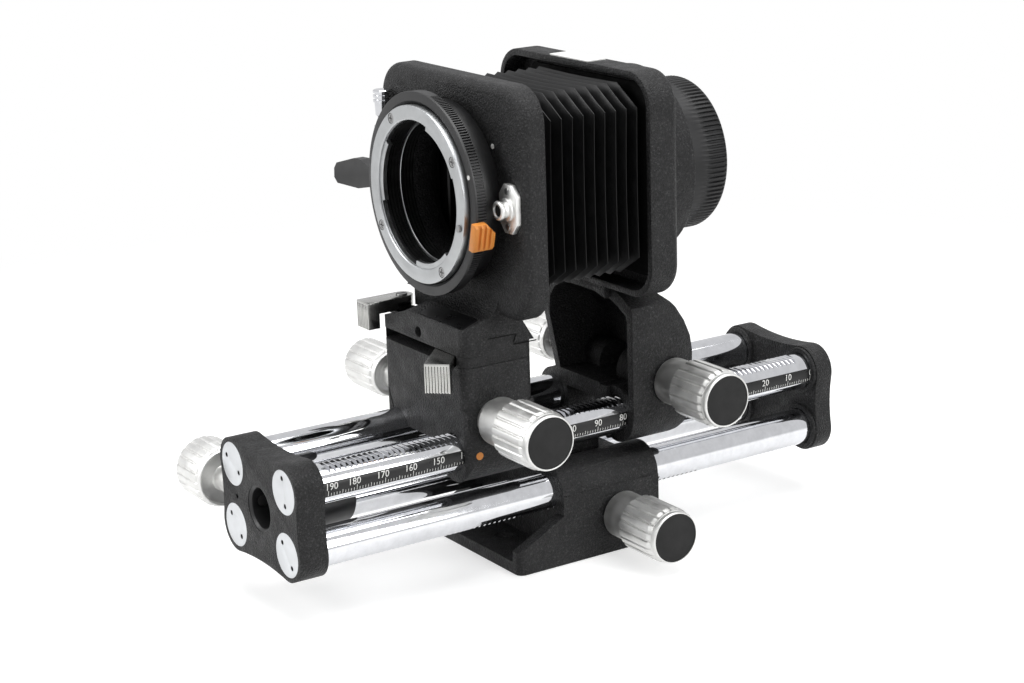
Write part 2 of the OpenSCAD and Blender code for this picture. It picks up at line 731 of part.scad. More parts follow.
module swing_block() {
    w = carriage_half_w;
    color("dimgray") difference() {
        union() {
            intersection() {
                along_x(-w, w) polygon([[carr_y0, slot_z0], [carr_y1, slot_z0], [carr_y1, shoulder_z],
                    [apron_y, shoulder_z], [apron_y, slot_z1], [carr_y0, slot_z1]]);
                linear_extrude(block_top) round_rect(-w, w, carr_y0, carr_y1, edge_r);
            }
            along_x(tongue_x0, w) translate([tongue_y, shoulder_z])
                polygon([[-tongue_foot_w / 2, -cut], [-tongue_foot_w / 2, 0], [-tongue_top_w / 2, tongue_h],
                    [tongue_top_w / 2, tongue_h], [tongue_foot_w / 2, 0], [tongue_foot_w / 2, -cut]]);
        }
        translate([0, 0, slot_z0 - cut]) linear_extrude(slot_z1 - slot_z0 + cut) {
            translate([0, swing_y]) circle(hub_r + 0.4);
            polygon([[slot_wall - w, -42.5], [-8, -42.5], [0, -36], [8.2, -42.6], [21.6, -55.1],
                [slot_wall - w, -55.1]]);
        }
        z_cyl(pivot_r + seat, slot_z0, shoulder_z - 1, 0, swing_y);
    }
}
module swing_pivot() {
    color("gray") z_cyl(pivot_r, pivot_z0 + 1, shoulder_z - 1, 0, swing_y);
}
// The lever turns on the pivot, in the slot; its ridged head hangs outside the slot
module swing_lever() {
    z0 = slot_z0 + 0.1;
    reach = 29;
    head_w = 8;
    head_t = 3.6;
    color("silver") translate([0, swing_y, 0]) rotate(lever_angle) difference() {
        union() {
            z_cyl(hub_r, z0, z0 + lever_t, 0, 0);
            box(0, reach, -head_w / 2, head_w / 2, z0, z0 + lever_t);
            box(reach, reach + head_t, -head_w / 2, head_w / 2, z0 + lever_t - 9.5, z0 + lever_t);
        }
        z_cyl(pivot_r + shaft_play, z0 - cut, z0 + lever_t + cut, 0, 0);
        for (i = [-3.5:3.5])
            z_cyl(0.32, z0 - 8, z0 + lever_t - 0.8, reach + head_t, i * 0.95);
    }
}

// ---- front standard ----

module front_block_outline() {
    difference() {
        polygon([[carr_y0, slot_z1 + layer_gap], [carr_y0, bevel_z], [bevel_y, block_top],
            [bevel_y, block_top + 6], [front_y1, block_top + 6], [front_y1, block_top - 0.8],
            [carr_y1, shoulder_z + layer_gap], [apron_y - layer_gap, shoulder_z + layer_gap],
            [apron_y - layer_gap, slot_z1 + layer_gap]]);
        translate([bevel_y, block_top + 6]) circle(6);
        translate([tongue_y, shoulder_z]) polygon([[-tongue_foot_w / 2 - 0.1, -cut],
            [-tongue_foot_w / 2 - 0.1, 0], [-tongue_top_w / 2 - 0.1, tongue_h + layer_gap],
            [tongue_top_w / 2 + 0.1, tongue_h + layer_gap], [tongue_foot_w / 2 + 0.1, 0],
            [tongue_foot_w / 2 + 0.1, -cut]]);
    }
}
module front_frame() {
    w = block_half_w;
    color("dimgray") difference() {
        union() {
            soft_plate(front_w / 2, front_z0, front_z0 + front_h, front_y0, front_y1, frame_r, round_r);
            intersection() {
                along_x(-w, w) front_block_outline();
                linear_extrude(axis_z) round_rect(-w, w, carr_y0, carr_y1 + edge_r, edge_r);
            }
            box(shift_x - arm_half_w, -w + cut, shift_y - arm_half_w, shift_y + arm_half_w,
                shoulder_z + layer_gap, ear_z);
        }
        along_y(carr_y0 - cut, front_y0) polygon([[-w - 2 * cut, ear_z - 0.6], [-w, ear_z - 0.3],
            [-9.5, bevel_z - 0.6], [-5, block_top + cut], [-w - 2 * cut, block_top + cut]]);
        y_cyl(light_r, front_y0 - cut, front_y1 + cut, 0, axis_z);
        y_cyl(1.8, carr_y0 - cut, carr_y0 + 4, -1.9, 78.9);
        z_cyl(1.5 + seat, shoulder_z - cut, ear_z + cut, shift_x, shift_y);
        badge_bed(0);
    }
}
// The badge's place: a shallow bed in the bevel, and the plate that lies in it
module badge_bed(shrink) {
    slope = atan((block_top - bevel_z) / (bevel_y - carr_y0));
    translate([-1.6, (carr_y0 + bevel_y) / 2, (bevel_z + block_top) / 2]) rotate([slope, 0, 0])
        translate([shrink, -3.3 + shrink, -0.5])
            cube([25.6 - 2 * shrink, 6.6 - 2 * shrink, shrink > 0 ? 0.7 : 2]);
}
module badge_plate() {
    color("black") badge_bed(0.05);
}
module shift_lever() {
    z1 = shift_z;
    z0 = ear_z + layer_gap;
    head_y0 = carr_y0 - 4.6;
    color("silver") difference() {
        union() {
            box(shift_x - arm_half_w, shift_x + arm_half_w, head_y0, shift_y, z0, z1);
            z_cyl(arm_half_w, z0, z1, shift_x, shift_y);
            box(shift_x - arm_half_w, shift_x + arm_half_w, head_y0, carr_y0 - 0.35, z1 - 9, z1);
        }
        z_cyl(1.5 + shaft_play, z0 - cut, z1 + cut, shift_x, shift_y);
        for (i = [-3:3]) z_cyl(0.32, z1 - 9 + 0.3, z1 - 0.8, shift_x + i * 0.98, head_y0);
    }
}
module shift_lever_screw() {
    color("gray") z_cyl(1.5, shoulder_z + layer_gap, shift_z + layer_gap, shift_x, shift_y);
    color("gray") z_cyl(2.4, shift_z + layer_gap, shift_z + 0.9, shift_x, shift_y);
}
module mount_housing() {
    color("black") difference() {
        y_turned(0, axis_z) polygon([[throat_r + 0.8, nose_y], [bayonet_r, nose_y], [bayonet_r, release_y1 + 0.1],
            [housing_r, release_y1 + 0.1], [housing_r, front_y0], [throat_r + 0.8, front_y0]]);
        y_cyl(housing_r - 2.1, lever_y0 - 0.2, front_y0 + cut, 0, axis_z);
        translate([0, 0, axis_z]) along_y(lever_y0 - 0.2, front_y0 + cut)
            polygon([[0, 0], polar(2 * housing_r, 168), polar(2 * housing_r, 214)]);
        y_cyl(lock_pin_r + shaft_play, nose_y - cut, nose_y + 5,
            lock_pin_at * cos(lock_pin_turn), axis_z + lock_pin_at * sin(lock_pin_turn));
    }
    color("black") difference() {
        y_cyl(throat_r + 1.5, lever_y0 - 0.3, front_y0, 0, axis_z);
        y_cyl(throat_r + 0.8, lever_y0 - cut, front_y0 + cut, 0, axis_z);
    }
}
module bayonet_ring() {
    lip = 0.8;
    color("gainsboro") difference() {
        y_turned(0, axis_z) polygon([[throat_r + lip, face_y], [bayonet_r - 0.3, face_y],
            [bayonet_r, face_y + 0.3], [bayonet_r, nose_y], [throat_r, nose_y],
            [throat_r, face_y + 0.5], [throat_r + lip, face_y + 0.5]]);
        // The gaps between the three claws that hold a lens
        for (a = [108, 228, 348]) translate([0, 0, axis_z]) rotate([-90, 0, 0])
            rotate([0, 0, -a - claw_gap / 2]) rotate_extrude(angle = claw_gap)
                translate([throat_r - cut, face_y - cut]) square([lip + cut + 0.3, bayonet_t + 2 * cut]);
        y_cyl(lock_pin_r + shaft_play, face_y - cut, nose_y + cut,
            lock_pin_at * cos(lock_pin_turn), axis_z + lock_pin_at * sin(lock_pin_turn));
        at_bayonet_screws() y_cyl(screw_head_r + seat, face_y - cut, face_y + 1.2, 0, 0);
    }
}
module at_bayonet_screws() {
    for (a = [31.7, 121.1, 211.1, 301.5])
        translate([screw_ring_r * cos(a), 0, axis_z + screw_ring_r * sin(a)]) children();
}
module bayonet_screws() {
    color("silver") at_bayonet_screws() difference() {
        y_cyl(screw_head_r, face_y + 0.1, face_y + 1.2, 0, 0);
        box(-0.22, 0.22, face_y - cut, face_y + 0.5, -1.1, 1.1);
        box(-1.1, 1.1, face_y - cut, face_y + 0.5, -0.22, 0.22);
    }
}
module lens_lock_pin() {
    color("gray") y_cyl(lock_pin_r, face_y - 0.7, nose_y + 3,
        lock_pin_at * cos(lock_pin_turn), axis_z + lock_pin_at * sin(lock_pin_turn));
}
// The ring's outline with fine teeth round it
module knurl_outline(r, count, depth) {
    step = 360 / count;
    polygon([for (i = [0:count - 1], p = [[r - depth, 0.06], [r, 0.24], [r, 0.76], [r - depth, 0.94]])
        polar(p[0], (i + p[1]) * step)]);
}
module release_ring() {
    inner = bayonet_r + shaft_play;
    lip = 1;
    teeth = 120;
    groove = 0.9;
    color("black") {
        difference() {
            translate([0, 0, axis_z]) along_y(release_y0 + lip, release_y1)
                knurl_outline(release_r - 0.1, teeth, 0.35);
            y_cyl(inner, release_y0, release_y1 + cut, 0, axis_z);
        }
        y_turned(0, axis_z) polygon([[inner + groove, release_y0], [release_r - 0.3, release_y0],
            [release_r, release_y0 + 0.3], [release_r, release_y0 + lip], [inner, release_y0 + lip]]);
    }
}
module release_tab() {
    color("orange") translate([0, 0, axis_z]) rotate([0, -tab_turn, 0]) difference() {
        translate([0, face_y - 0.1, 0]) rotate([-90, 0, 0]) linear_extrude(7.2)
            polygon([[release_r, -4.4], [release_r + 2, -4.4], [release_r + 2.8, -3.6], [release_r + 2.8, 3],
                [release_r + 2, 4.4], [release_r, 4.4]]);
        for (i = [0:2]) translate([release_r + 3.1, face_y + 1.5 + i * 1.8, -5]) cylinder(r = 0.7, h = 10);
    }
}
module release_socket() {
    x = 35.2;
    z = 123.4;
    y = front_y0;
    color("silver") difference() {
        union() {
            along_y(y - 1.7, y) translate([x, z]) polygon([[-2, 7.6], [2, 7.6], [4.7, 4.4], [4.7, -4.4],
                [2, -7.6], [-2, -7.6], [-4.7, -4.4], [-4.7, 4.4]]);
            y_turned(x, z) polygon([[0, y - 5.6], [2.7, y - 5.6], [3, y - 5.3], [3, y - 4.5], [2.5, y - 4.2],
                [2.5, y - 2.8], [3.5, y - 2.6], [3.5, y - 1.6], [0, y - 1.6]]);
        }
        y_cyl(1.9, y - 5.6 - cut, y - 1.6, x, z);
    }
}
module stop_lever() {
    rest = 183.2;
    color("black") translate([0, 0, axis_z]) difference() {
        union() {
            y_cyl(housing_r - 2.4, lever_y0, lever_y1, 0, 0);
            rotate([0, -rest, 0]) along_y(lever_y0, lever_y1)
                polygon([[housing_r - 4, -3.4], [lever_reach - 23.9, -3.4], [lever_reach - 19.2, -5.2],
                    [lever_reach - 14.4, -5.2], [lever_reach - 2.4, -2.6], [lever_reach - 0.4, -0.6],
                    [lever_reach, 2.6], [lever_reach - 2, 4.4], [lever_reach - 16.4, 4.8],
                    [lever_reach - 23.9, 3.6], [housing_r - 4, 3.4]]);
        }
        y_cyl(throat_r + 1.6, lever_y0 - cut, lever_y1 + cut, 0, 0);
    }
}
// The cable plunger: a ringed button over a slim stem, in a guide on the front frame
module plunger_guide() {
    color("silver") difference() {
        union() {
            z_cyl(2.9, 128, 139.5, plunger_x, plunger_y);
            box(plunger_x - 2.9, plunger_x + 2.9, plunger_y, front_y0, 128.5, 139);
        }
        z_cyl(1.7 + shaft_play, 130, 141, plunger_x, plunger_y);
    }
}
module plunger_button() {
    z0 = 133.5;
    color("silver") translate([plunger_x, plunger_y, z0]) rotate_extrude() polygon([[0, 0], [1.7, 0],
        [1.7, 9], [2.3, 9.5], [2.5, 13.7], [2.9, 13.9], [2.9, 14.6], [2.3, 14.7], [2.3, 15.3], [2.9, 15.4],
        [2.9, 16.1], [2.3, 16.2], [2.3, 16.8], [2.9, 16.9], [2.9, 17.5], [2.6, 17.8], [0, 17.8]]);
}

// ---- rear standard ----

module rear_frame() {
    w = rear_w / 2;
    color("dimgray") difference() {
        union() {
            translate([0, rear_y0 + rear_y1, 0]) mirror([0, 1, 0])
                soft_plate(w, rear_z0, rear_z0 + rear_h, rear_y0, rear_y1, frame_r - 0.5, round_r);
            y_cyl(boss_r, rear_y1 - cut, boss_y1, 0, axis_z);
        }
        along_y(rear_y0 - cut, recess_y)
            round_rect(-w + rim_t, w - rim_t, rear_z0 + rim_t, rear_z0 + rear_h - rim_t, frame_r - 0.5 - rim_t);
        y_cyl(light_r, recess_y - cut, boss_y1, 0, axis_z);
        y_cyl(turn_r + shaft_play, boss_y1 - 12, boss_y1 + cut, 0, axis_z);
    }
}
// The leg's outline from the front; inset draws its hollow
module leg_front_outline(inset) {
    top = rear_z0;
    right = knob_x - inset;
    polygon([[right, upper_z], [right, 79 - inset], [26.4 - inset, 81.2 - inset], [22.1 - inset, 83.6 - inset],
        [17.7 - inset, 85.4 - inset], [11.1 - inset, top - inset], [-12 + inset, top - inset],
        [-18 + inset, 84 - inset], [-21 + inset, 80 - inset], [-21.6 + inset, 71], [-19 + inset, 63],
        [-15.8 + inset, 53], [-15.8 + inset, 50 + inset], [7 + inset, 50 + inset], [7 + inset, upper_z]]);
}
module leg_side_outline(inset) {
    polygon([[7.6, 34], [7.6, rear_z0], [20, 86.4 - inset], [26.4 - inset, 79.4 - inset], [30 - inset, 74],
        [32.4 - inset, 68.5], [33.2 - inset, 63.2], [33.1 - inset, 59], [31.2 - inset, 39.3],
        [29.1 - inset, 36], [27 - inset, 34]]);
}
module rear_leg() {
    lobe = 9.5;
    pocket_r = upper_pitch_r + gear_module + pocket_gap;
    color("dimgray") difference() {
        union() {
            difference() {
                intersection() {
                    along_y(0, 40) leg_front_outline(0);
                    along_x(-40, 40) leg_side_outline(0);
                }
                intersection() {
                    along_y(0, 40) leg_front_outline(leg_wall);
                    along_x(-40, 40) translate([-cut, 0]) leg_side_outline(leg_wall);
                }
            }
            intersection() {
                along_y(7.6, 31.5) {
                    translate([half_span, upper_z]) circle(lobe);
                    translate([-half_span, upper_z]) circle(lobe - 1);
                    translate([-half_span, upper_z + 4]) square([tube_span_x, 5]);
                    translate([half_span, upper_z]) square([lobe, 8]);
                }
                along_x(-40, 40) leg_side_outline(0);
            }
            intersection() {
                x_cyl(pocket_r + 2, 7.6, knob_x - 1, rear_drive_y, drive_z);
                along_x(-40, 40) leg_side_outline(0);
            }
            x_cyl(6.5, rear_lock_x, -5, rear_lock_y, drive_z);
        }
        x_cyl(rear_stem_r + side_gap, -half_span - 3 * lobe, rear_lock_x, rear_lock_y, drive_z);
        for (x = [-half_span, half_span])
            y_cyl(run_r, 0, 40, x, upper_z);
        pinion_pocket(upper_teeth, rear_drive_y, drive_z);
        x_cyl(shaft_r + shaft_play, -30, -6, rear_lock_y, drive_z);
    }
}
module top_plate() {
    color("white") box(-12.3, 8.7, rear_y0 + 0.3, rear_y0 + 7.8, rear_z0 + rear_h, rear_z0 + rear_h + 0.5);
}
module bellows_plate(y0, y1, half_w, half_h) {
    color("dimgray") along_y(y0, y1) translate([0, axis_z]) difference() {
        round_rect(-half_w, half_w, -half_h, half_h, 3);
        circle(light_r);
    }
}
module bellows_front_plate() {
    bellows_plate(front_y1, bellows_y0, ridge_x, ridge_z);
}
module bellows_rear_plate() {
    bellows_plate(recess_y - plate_t, recess_y, ridge_x, ridge_z);
}
// One ring of the skin: eight corners at half width a and half height b
function ring(a, b, cx, cz, y) = [for (p = [[a, -b + cz], [a, b - cz], [a - cx, b], [-a + cx, b],
    [-a, b - cz], [-a, -b + cz], [-a + cx, -b], [a - cx, -b]]) [p[0], y, axis_z + p[1]]];
function fold_ring(k, t) =
    k == 0 ? ring(valley_x + 2 - t, valley_z + 2 - t, 2, 2, bellows_y0) :
    k == 2 * folds + 2 ? ring(valley_x + 2 - t, valley_z + 2 - t, 2, 2, bellows_y1) :
    k % 2 == 1 ? ring(valley_x - t, valley_z - t, valley_chamfer, valley_chamfer,
        bellows_y0 + collar_y + (k - 1) / 2 * fold_pitch) :
    ring(ridge_x - t, ridge_z - t, ridge_chamfer_x, ridge_chamfer_z,
        bellows_y0 + collar_y + (k - 1) / 2 * fold_pitch);
module bellows() {
    rings = 2 * folds + 3;
    points = [for (t = [0, skin_t], k = [0:rings - 1], p = fold_ring(k, t)) p];
    inner = rings * 8;
    faces = concat(
        [for (k = [0:rings - 2], i = [0:7], f = [[0, 1], [1, 1]])
            let (j = (i + 1) % 8, a = k * 8 + i, b = k * 8 + j, c = a + 8, d = b + 8)
            f[0] == 0 ? [a, b, c] : [b, d, c]],
        [for (k = [0:rings - 2], i = [0:7], f = [0, 1])
            let (j = (i + 1) % 8, a = inner + k * 8 + i, b = inner + k * 8 + j, c = a + 8, d = b + 8)
            f == 0 ? [a, c, b] : [b, c, d]],
        [for (i = [0:7], f = [0, 1]) let (j = (i + 1) % 8)
            f == 0 ? [i, inner + i, j] : [j, inner + i, inner + j]],
        [for (i = [0:7], f = [0, 1]) let (j = (i + 1) % 8, e = (rings - 1) * 8)
            f == 0 ? [e + i, e + j, e + inner + i] : [e + j, e + inner + j, e + inner + i]]);
    color("black") polyhedron(points, faces, convexity = 20);
}
module rear_pinion_bush() {
    color("silver") pinion_bush(upper_teeth, rear_drive_y, drive_z, bush_x1);
}
module rear_pinion() {
    color("gray") pinion(upper_teeth, rear_drive_y, drive_z, -1, knob_x + shaft_end);
}
module rear_drive_knob() {
    drive_knob(drive_grip_r, 20, rear_drive_y, drive_z);
}
module rear_drive_disc() {
    knob_disc(rear_drive_y, drive_z);
}
module rear_lock_knob() {
    lock_knob(rear_lock_x - side_gap, rear_stem_r, 7.9, lock_grip_r, rear_stem_len, lock_grip_len,
        rear_lock_y, drive_z);
}
module rear_lock_screw() {
    lock_screw(rear_lock_x + lock_screw_in, rear_lock_x - rear_stem_len - lock_grip_len / 2,
        rear_lock_y, drive_z);
}
module camera_mount_ring() {
    male_r = 23.2;
    color("gainsboro") y_turned(0, axis_z) polygon([[20.5, boss_y1 - 11.9], [turn_r, boss_y1 - 11.9],
        [turn_r, boss_y1], [male_r, boss_y1], [male_r, boss_y1 + 4.9], [male_r - 0.4, boss_y1 + 5.3],
        [20.5, boss_y1 + 5.3]]);
}
module rear_cap() {
    y0 = boss_y1 + 0.1;
    y1 = y0 + rear_cap_len;
    color("black") difference() {
        y_turned(0, axis_z) polygon([[0, y0], [rear_cap_r - 0.3, y0], [rear_cap_r - 0.3, y1 - 7.6],
            [rear_cap_r, y1 - 7], [rear_cap_r, y1 - 1.2], [rear_cap_r - 1.2, y1], [0, y1]]);
        y_cyl(rear_cap_r - 1.8, y0 - cut, y1 - 2, 0, axis_z);
    }
}

tripod_block();
focus_pinion_bush();
focus_pinion();
focus_knob();
focus_knob_disc();
focus_lock_knob();
focus_lock_screw();
front_end_plate();
rear_end_plate();
upper_left_tube();
upper_right_tube();
lower_left_tube();
lower_right_tube();
front_tube_caps();
rear_tube_caps();
socket_sleeve();
scale_strip();
socket_clamp_knob();
socket_clamp_screw();
front_carriage();
index_dot();
front_pinion_bush();
front_pinion();
front_drive_knob();
front_drive_disc();
front_lock_knob();
front_lock_screw();
swing_block();
swing_pivot();
swing_lever();
front_frame();
mount_housing();
bayonet_ring();
bayonet_screws();
release_socket();
badge_plate();
plunger_guide();
lens_lock_pin();
shift_lever();
shift_lever_screw();
release_ring();
release_tab();
stop_lever();
plunger_button();
rear_frame();
rear_leg();
top_plate();
bellows_front_plate();
bellows_rear_plate();
bellows();
rear_pinion_bush();
rear_pinion();
rear_drive_knob();
rear_drive_disc();
rear_lock_knob();
rear_lock_screw();
camera_mount_ring();
rear_cap();
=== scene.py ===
import json
import math
import random

import bpy
from mathutils import Matrix, Vector
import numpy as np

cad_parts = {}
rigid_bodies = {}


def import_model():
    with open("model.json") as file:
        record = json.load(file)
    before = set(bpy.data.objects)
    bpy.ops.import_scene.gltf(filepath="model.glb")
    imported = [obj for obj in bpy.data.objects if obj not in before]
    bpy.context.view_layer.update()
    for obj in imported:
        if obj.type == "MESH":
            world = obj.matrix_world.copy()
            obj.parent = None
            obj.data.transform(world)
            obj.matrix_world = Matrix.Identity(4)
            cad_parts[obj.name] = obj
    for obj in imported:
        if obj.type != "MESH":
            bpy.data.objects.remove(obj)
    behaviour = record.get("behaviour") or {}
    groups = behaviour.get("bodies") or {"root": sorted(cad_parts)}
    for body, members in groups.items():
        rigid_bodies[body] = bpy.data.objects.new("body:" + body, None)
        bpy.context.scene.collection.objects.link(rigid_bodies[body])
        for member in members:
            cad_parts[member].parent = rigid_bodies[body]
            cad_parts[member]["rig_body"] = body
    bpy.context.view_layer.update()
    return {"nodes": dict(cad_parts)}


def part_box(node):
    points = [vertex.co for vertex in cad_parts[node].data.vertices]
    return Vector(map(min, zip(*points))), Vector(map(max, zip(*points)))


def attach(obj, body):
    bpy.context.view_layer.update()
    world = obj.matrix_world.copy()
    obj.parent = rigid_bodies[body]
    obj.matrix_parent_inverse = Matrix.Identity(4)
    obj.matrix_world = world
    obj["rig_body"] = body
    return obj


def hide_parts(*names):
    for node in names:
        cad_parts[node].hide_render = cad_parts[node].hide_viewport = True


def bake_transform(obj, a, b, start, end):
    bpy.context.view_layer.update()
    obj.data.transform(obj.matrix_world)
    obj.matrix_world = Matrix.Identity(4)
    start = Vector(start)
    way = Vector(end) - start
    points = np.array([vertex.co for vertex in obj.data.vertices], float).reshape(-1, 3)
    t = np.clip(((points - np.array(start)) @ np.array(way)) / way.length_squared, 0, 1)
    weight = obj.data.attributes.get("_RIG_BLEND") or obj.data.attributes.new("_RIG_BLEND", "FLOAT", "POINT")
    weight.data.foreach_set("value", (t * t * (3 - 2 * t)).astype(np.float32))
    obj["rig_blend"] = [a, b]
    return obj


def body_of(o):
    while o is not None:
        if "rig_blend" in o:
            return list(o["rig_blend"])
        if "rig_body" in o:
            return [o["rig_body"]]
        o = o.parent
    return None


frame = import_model()

MM = 0.001
AXIS_Z = 123.65                 # height of the optical axis
FRONT_Y0 = -40.9                # front face of the front frame
BOSS_Y1 = 32.1                  # rear end of the camera mount's boss
FACE_Y = -53.85                 # front of the bayonet ring
SCALE_ZERO_Y = 87.4             # where the millimetre scale reads 0
UPPER_TUBE = (17.0, 43.5, 6.25)  # x, z and radius of the tube with the scale


# ---- small tools ----

def to_linear(hex_code):
    """An sRGB hex colour as linear values for a shader socket."""
    parts = [int(hex_code[i:i + 2], 16) / 255 for i in (1, 3, 5)]
    return tuple(c / 12.92 if c <= 0.04045 else ((c + 0.055) / 1.055) ** 2.4 for c in parts) + (1.0,)


def add_node(tree, kind, values=None, links=None, **settings):
    """Adds a shader node, sets its sockets and settings, and links other nodes' outputs to it."""
    node = tree.nodes.new(kind)
    for key, value in settings.items():
        setattr(node, key, value)
    for key, value in (values or {}).items():
        node.inputs[key].default_value = value
    for key, source in (links or {}).items():
        tree.links.new(source, node.inputs[key])
    return node


def new_material(name):
    material = bpy.data.materials.new(name)
    material.use_nodes = True
    tree = material.node_tree
    tree.nodes.clear()
    return material, tree


def finish_material(tree, shader):
    out = add_node(tree, "ShaderNodeOutputMaterial")
    tree.links.new(shader.outputs[0], out.inputs["Surface"])


def deselect():
    bpy.ops.object.select_all(action="DESELECT")


def select_only(obj):
    deselect()
    obj.select_set(True)
    bpy.context.view_layer.objects.active = obj


def place_in_mesh(obj):
    select_only(obj)
    bpy.ops.object.transform_apply(location=True, rotation=True, scale=True)


def apply_modifiers(obj):
    select_only(obj)
    for modifier in list(obj.modifiers):
        bpy.ops.object.modifier_apply(modifier=modifier.name)


def smooth(obj, degrees=35):
    select_only(obj)
    bpy.ops.object.shade_smooth_by_angle(angle=math.radians(degrees))


def soften(obj, width, degrees=35):
    """Rounds the edges that are sharper than the given angle."""
    bevel = obj.modifiers.new("edge", "BEVEL")
    bevel.width = width * MM
    bevel.segments = 2
    bevel.limit_method = "ANGLE"
    bevel.angle_limit = math.radians(degrees)
    bevel.use_clamp_overlap = True
    apply_modifiers(obj)


def own(obj, name, material, body=None):
    """Names a finished piece, gives it its material and lets it ride on its body."""
    obj.name = name
    obj.data.name = name
    obj.data.materials.clear()
    obj.data.materials.append(material)
    if body:
        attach(obj, body)
    return obj


def body_name(node):
    """The body that a CAD node rides on."""
    body = body_of(frame["nodes"][node])
    return body if isinstance(body, str) else body[0]


def box_in_mm(node):
    """The low and the high corner of a CAD node, in millimetres."""
    return tuple(Vector(corner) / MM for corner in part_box(node))


# ---- camera ----

CAMERA_AT = Vector((601.52, -407.96, 274.61)) * MM
AZIMUTH, ELEVATION, ROLL = (math.radians(a) for a in (57.172, 15.963, -1.840))
camera_data = bpy.data.cameras.new("camera")
camera = bpy.data.objects.new("camera", camera_data)
bpy.context.scene.collection.objects.link(camera)
bpy.context.scene.camera = camera
camera_data.lens = 80.21
camera_data.sensor_width = 36
camera_data.clip_start = 0.01
back = Vector((math.sin(AZIMUTH) * math.cos(ELEVATION), -math.cos(AZIMUTH) * math.cos(ELEVATION),
               math.sin(ELEVATION)))
side = Vector((0, 0, 1)).cross(back).normalized()
up = back.cross(side)
turned_side = side * math.cos(ROLL) + up * math.sin(ROLL)
turned_up = up * math.cos(ROLL) - side * math.sin(ROLL)
camera.matrix_world = Matrix.Translation(CAMERA_AT) @ Matrix((turned_side, turned_up, back)).transposed().to_4x4()

scene = bpy.context.scene
scene.view_settings.view_transform = "Standard"


# ---- materials ----

def crackle_paint(name, colour, grain_mm, bump, roughness):
    """Crackle finish baked on cast aluminium: small hard grains that catch the light as dots."""
    material, tree = new_material(name)
    place = add_node(tree, "ShaderNodeTexCoord")
    grains = add_node(tree, "ShaderNodeTexVoronoi", {"Scale": 1 / (grain_mm * MM), "Randomness": 1.0},
                      {"Vector": place.outputs["Object"]}, feature="F1")
    cloud = add_node(tree, "ShaderNodeTexNoise", {"Scale": 0.9 / (grain_mm * MM), "Detail": 4.0, "Roughness": 0.7},
                     {"Vector": place.outputs["Object"]})
    patches = add_node(tree, "ShaderNodeTexNoise", {"Scale": 0.12 / (grain_mm * MM), "Detail": 2.0},
                       {"Vector": place.outputs["Object"]})
    hills = add_node(tree, "ShaderNodeMath", {0: 1.0}, {1: grains.outputs["Distance"]}, operation="SUBTRACT")
    total = add_node(tree, "ShaderNodeMath", None, {0: hills.outputs[0], 1: cloud.outputs["Fac"]}, operation="ADD")
    relief = add_node(tree, "ShaderNodeBump", {"Strength": bump, "Distance": 0.3 * MM}, {"Height": total.outputs[0]})
    tone = add_node(tree, "ShaderNodeValToRGB", None, {"Fac": cloud.outputs["Fac"]})
    tone.color_ramp.elements[0].position = 0.38
    tone.color_ramp.elements[0].color = to_linear(colour[0])
    tone.color_ramp.elements[1].position = 0.72
    tone.color_ramp.elements[1].color = to_linear(colour[2])
    between = tone.color_ramp.elements.new(0.56)
    between.color = to_linear(colour[1])
    worn = add_node(tree, "ShaderNodeMapRange", {1: 0.35, 2: 0.7, 3: roughness + 0.08, 4: roughness - 0.08},
                    {0: patches.outputs["Fac"]})
    shader = add_node(tree, "ShaderNodeBsdfPrincipled", {"IOR": 1.45, "Specular IOR Level": 0.32},
                      {"Base Color": tone.outputs["Color"], "Normal": relief.outputs["Normal"],
                       "Roughness": worn.outputs[0]})
    finish_material(tree, shader)
    return material


def plain_finish(name, colour, roughness, metallic=0.0, ior=1.5, grain_mm=0.0, bump=0.0, level=0.5):
    """A finish whose tone and gloss vary a little over it; grain_mm gives the spacing of its fine relief."""
    material, tree = new_material(name)
    values = {"Metallic": metallic}
    if not metallic:
        values["IOR"] = ior
        values["Specular IOR Level"] = level
    place = add_node(tree, "ShaderNodeTexCoord")
    wear = add_node(tree, "ShaderNodeTexNoise", {"Scale": 1 / (4 * MM), "Detail": 3.0, "Roughness": 0.6},
                    {"Vector": place.outputs["Object"]})
    tone = add_node(tree, "ShaderNodeValToRGB", None, {"Fac": wear.outputs["Fac"]})
    base = to_linear(colour)
    for element, position, share in zip(tone.color_ramp.elements, (0.3, 0.7), (0.92, 1.04)):
        element.position = position
        element.color = tuple(min(1.0, c * share) for c in base[:3]) + (1.0,)
    gloss = add_node(tree, "ShaderNodeMapRange", {1: 0.3, 2: 0.7, 3: roughness * 0.86, 4: roughness * 1.14},
                     {0: wear.outputs["Fac"]})
    links = {"Base Color": tone.outputs["Color"], "Roughness": gloss.outputs[0]}
    if bump:
        cloud = add_node(tree, "ShaderNodeTexNoise", {"Scale": 1 / (grain_mm * MM), "Detail": 2.0},
                         {"Vector": place.outputs["Object"]})
        relief = add_node(tree, "ShaderNodeBump", {"Strength": bump, "Distance": 0.05 * MM},
                          {"Height": cloud.outputs["Fac"]})
        links["Normal"] = relief.outputs["Normal"]
    finish_material(tree, add_node(tree, "ShaderNodeBsdfPrincipled", values, links))
    return material


# Crackle finish on the castings: near black, with grains about half a millimetre apart
CRACKLE = crackle_paint("black_crackle_paint", ("#0a0a0a", "#1c1c1d", "#4a4a4a"), 0.6, 0.8, 0.5)
# The same finish on the small blocks, where the photo shows it finer
CRACKLE_FINE = crackle_paint("fine_crackle_paint", ("#0b0b0b", "#1a1a1b", "#3c3c3c"), 0.5, 0.6, 0.5)
# Bright chrome plate on polished steel tube
CHROME = plain_finish("polished_chrome_plate", "#dcdde0", 0.06, 1.0)
# Turned aluminium, pearl anodised: pale and satin
ALUMINIUM = plain_finish("satin_anodised_aluminium", "#dcdcda", 0.46, 1.0, grain_mm=0.3, bump=0.14)
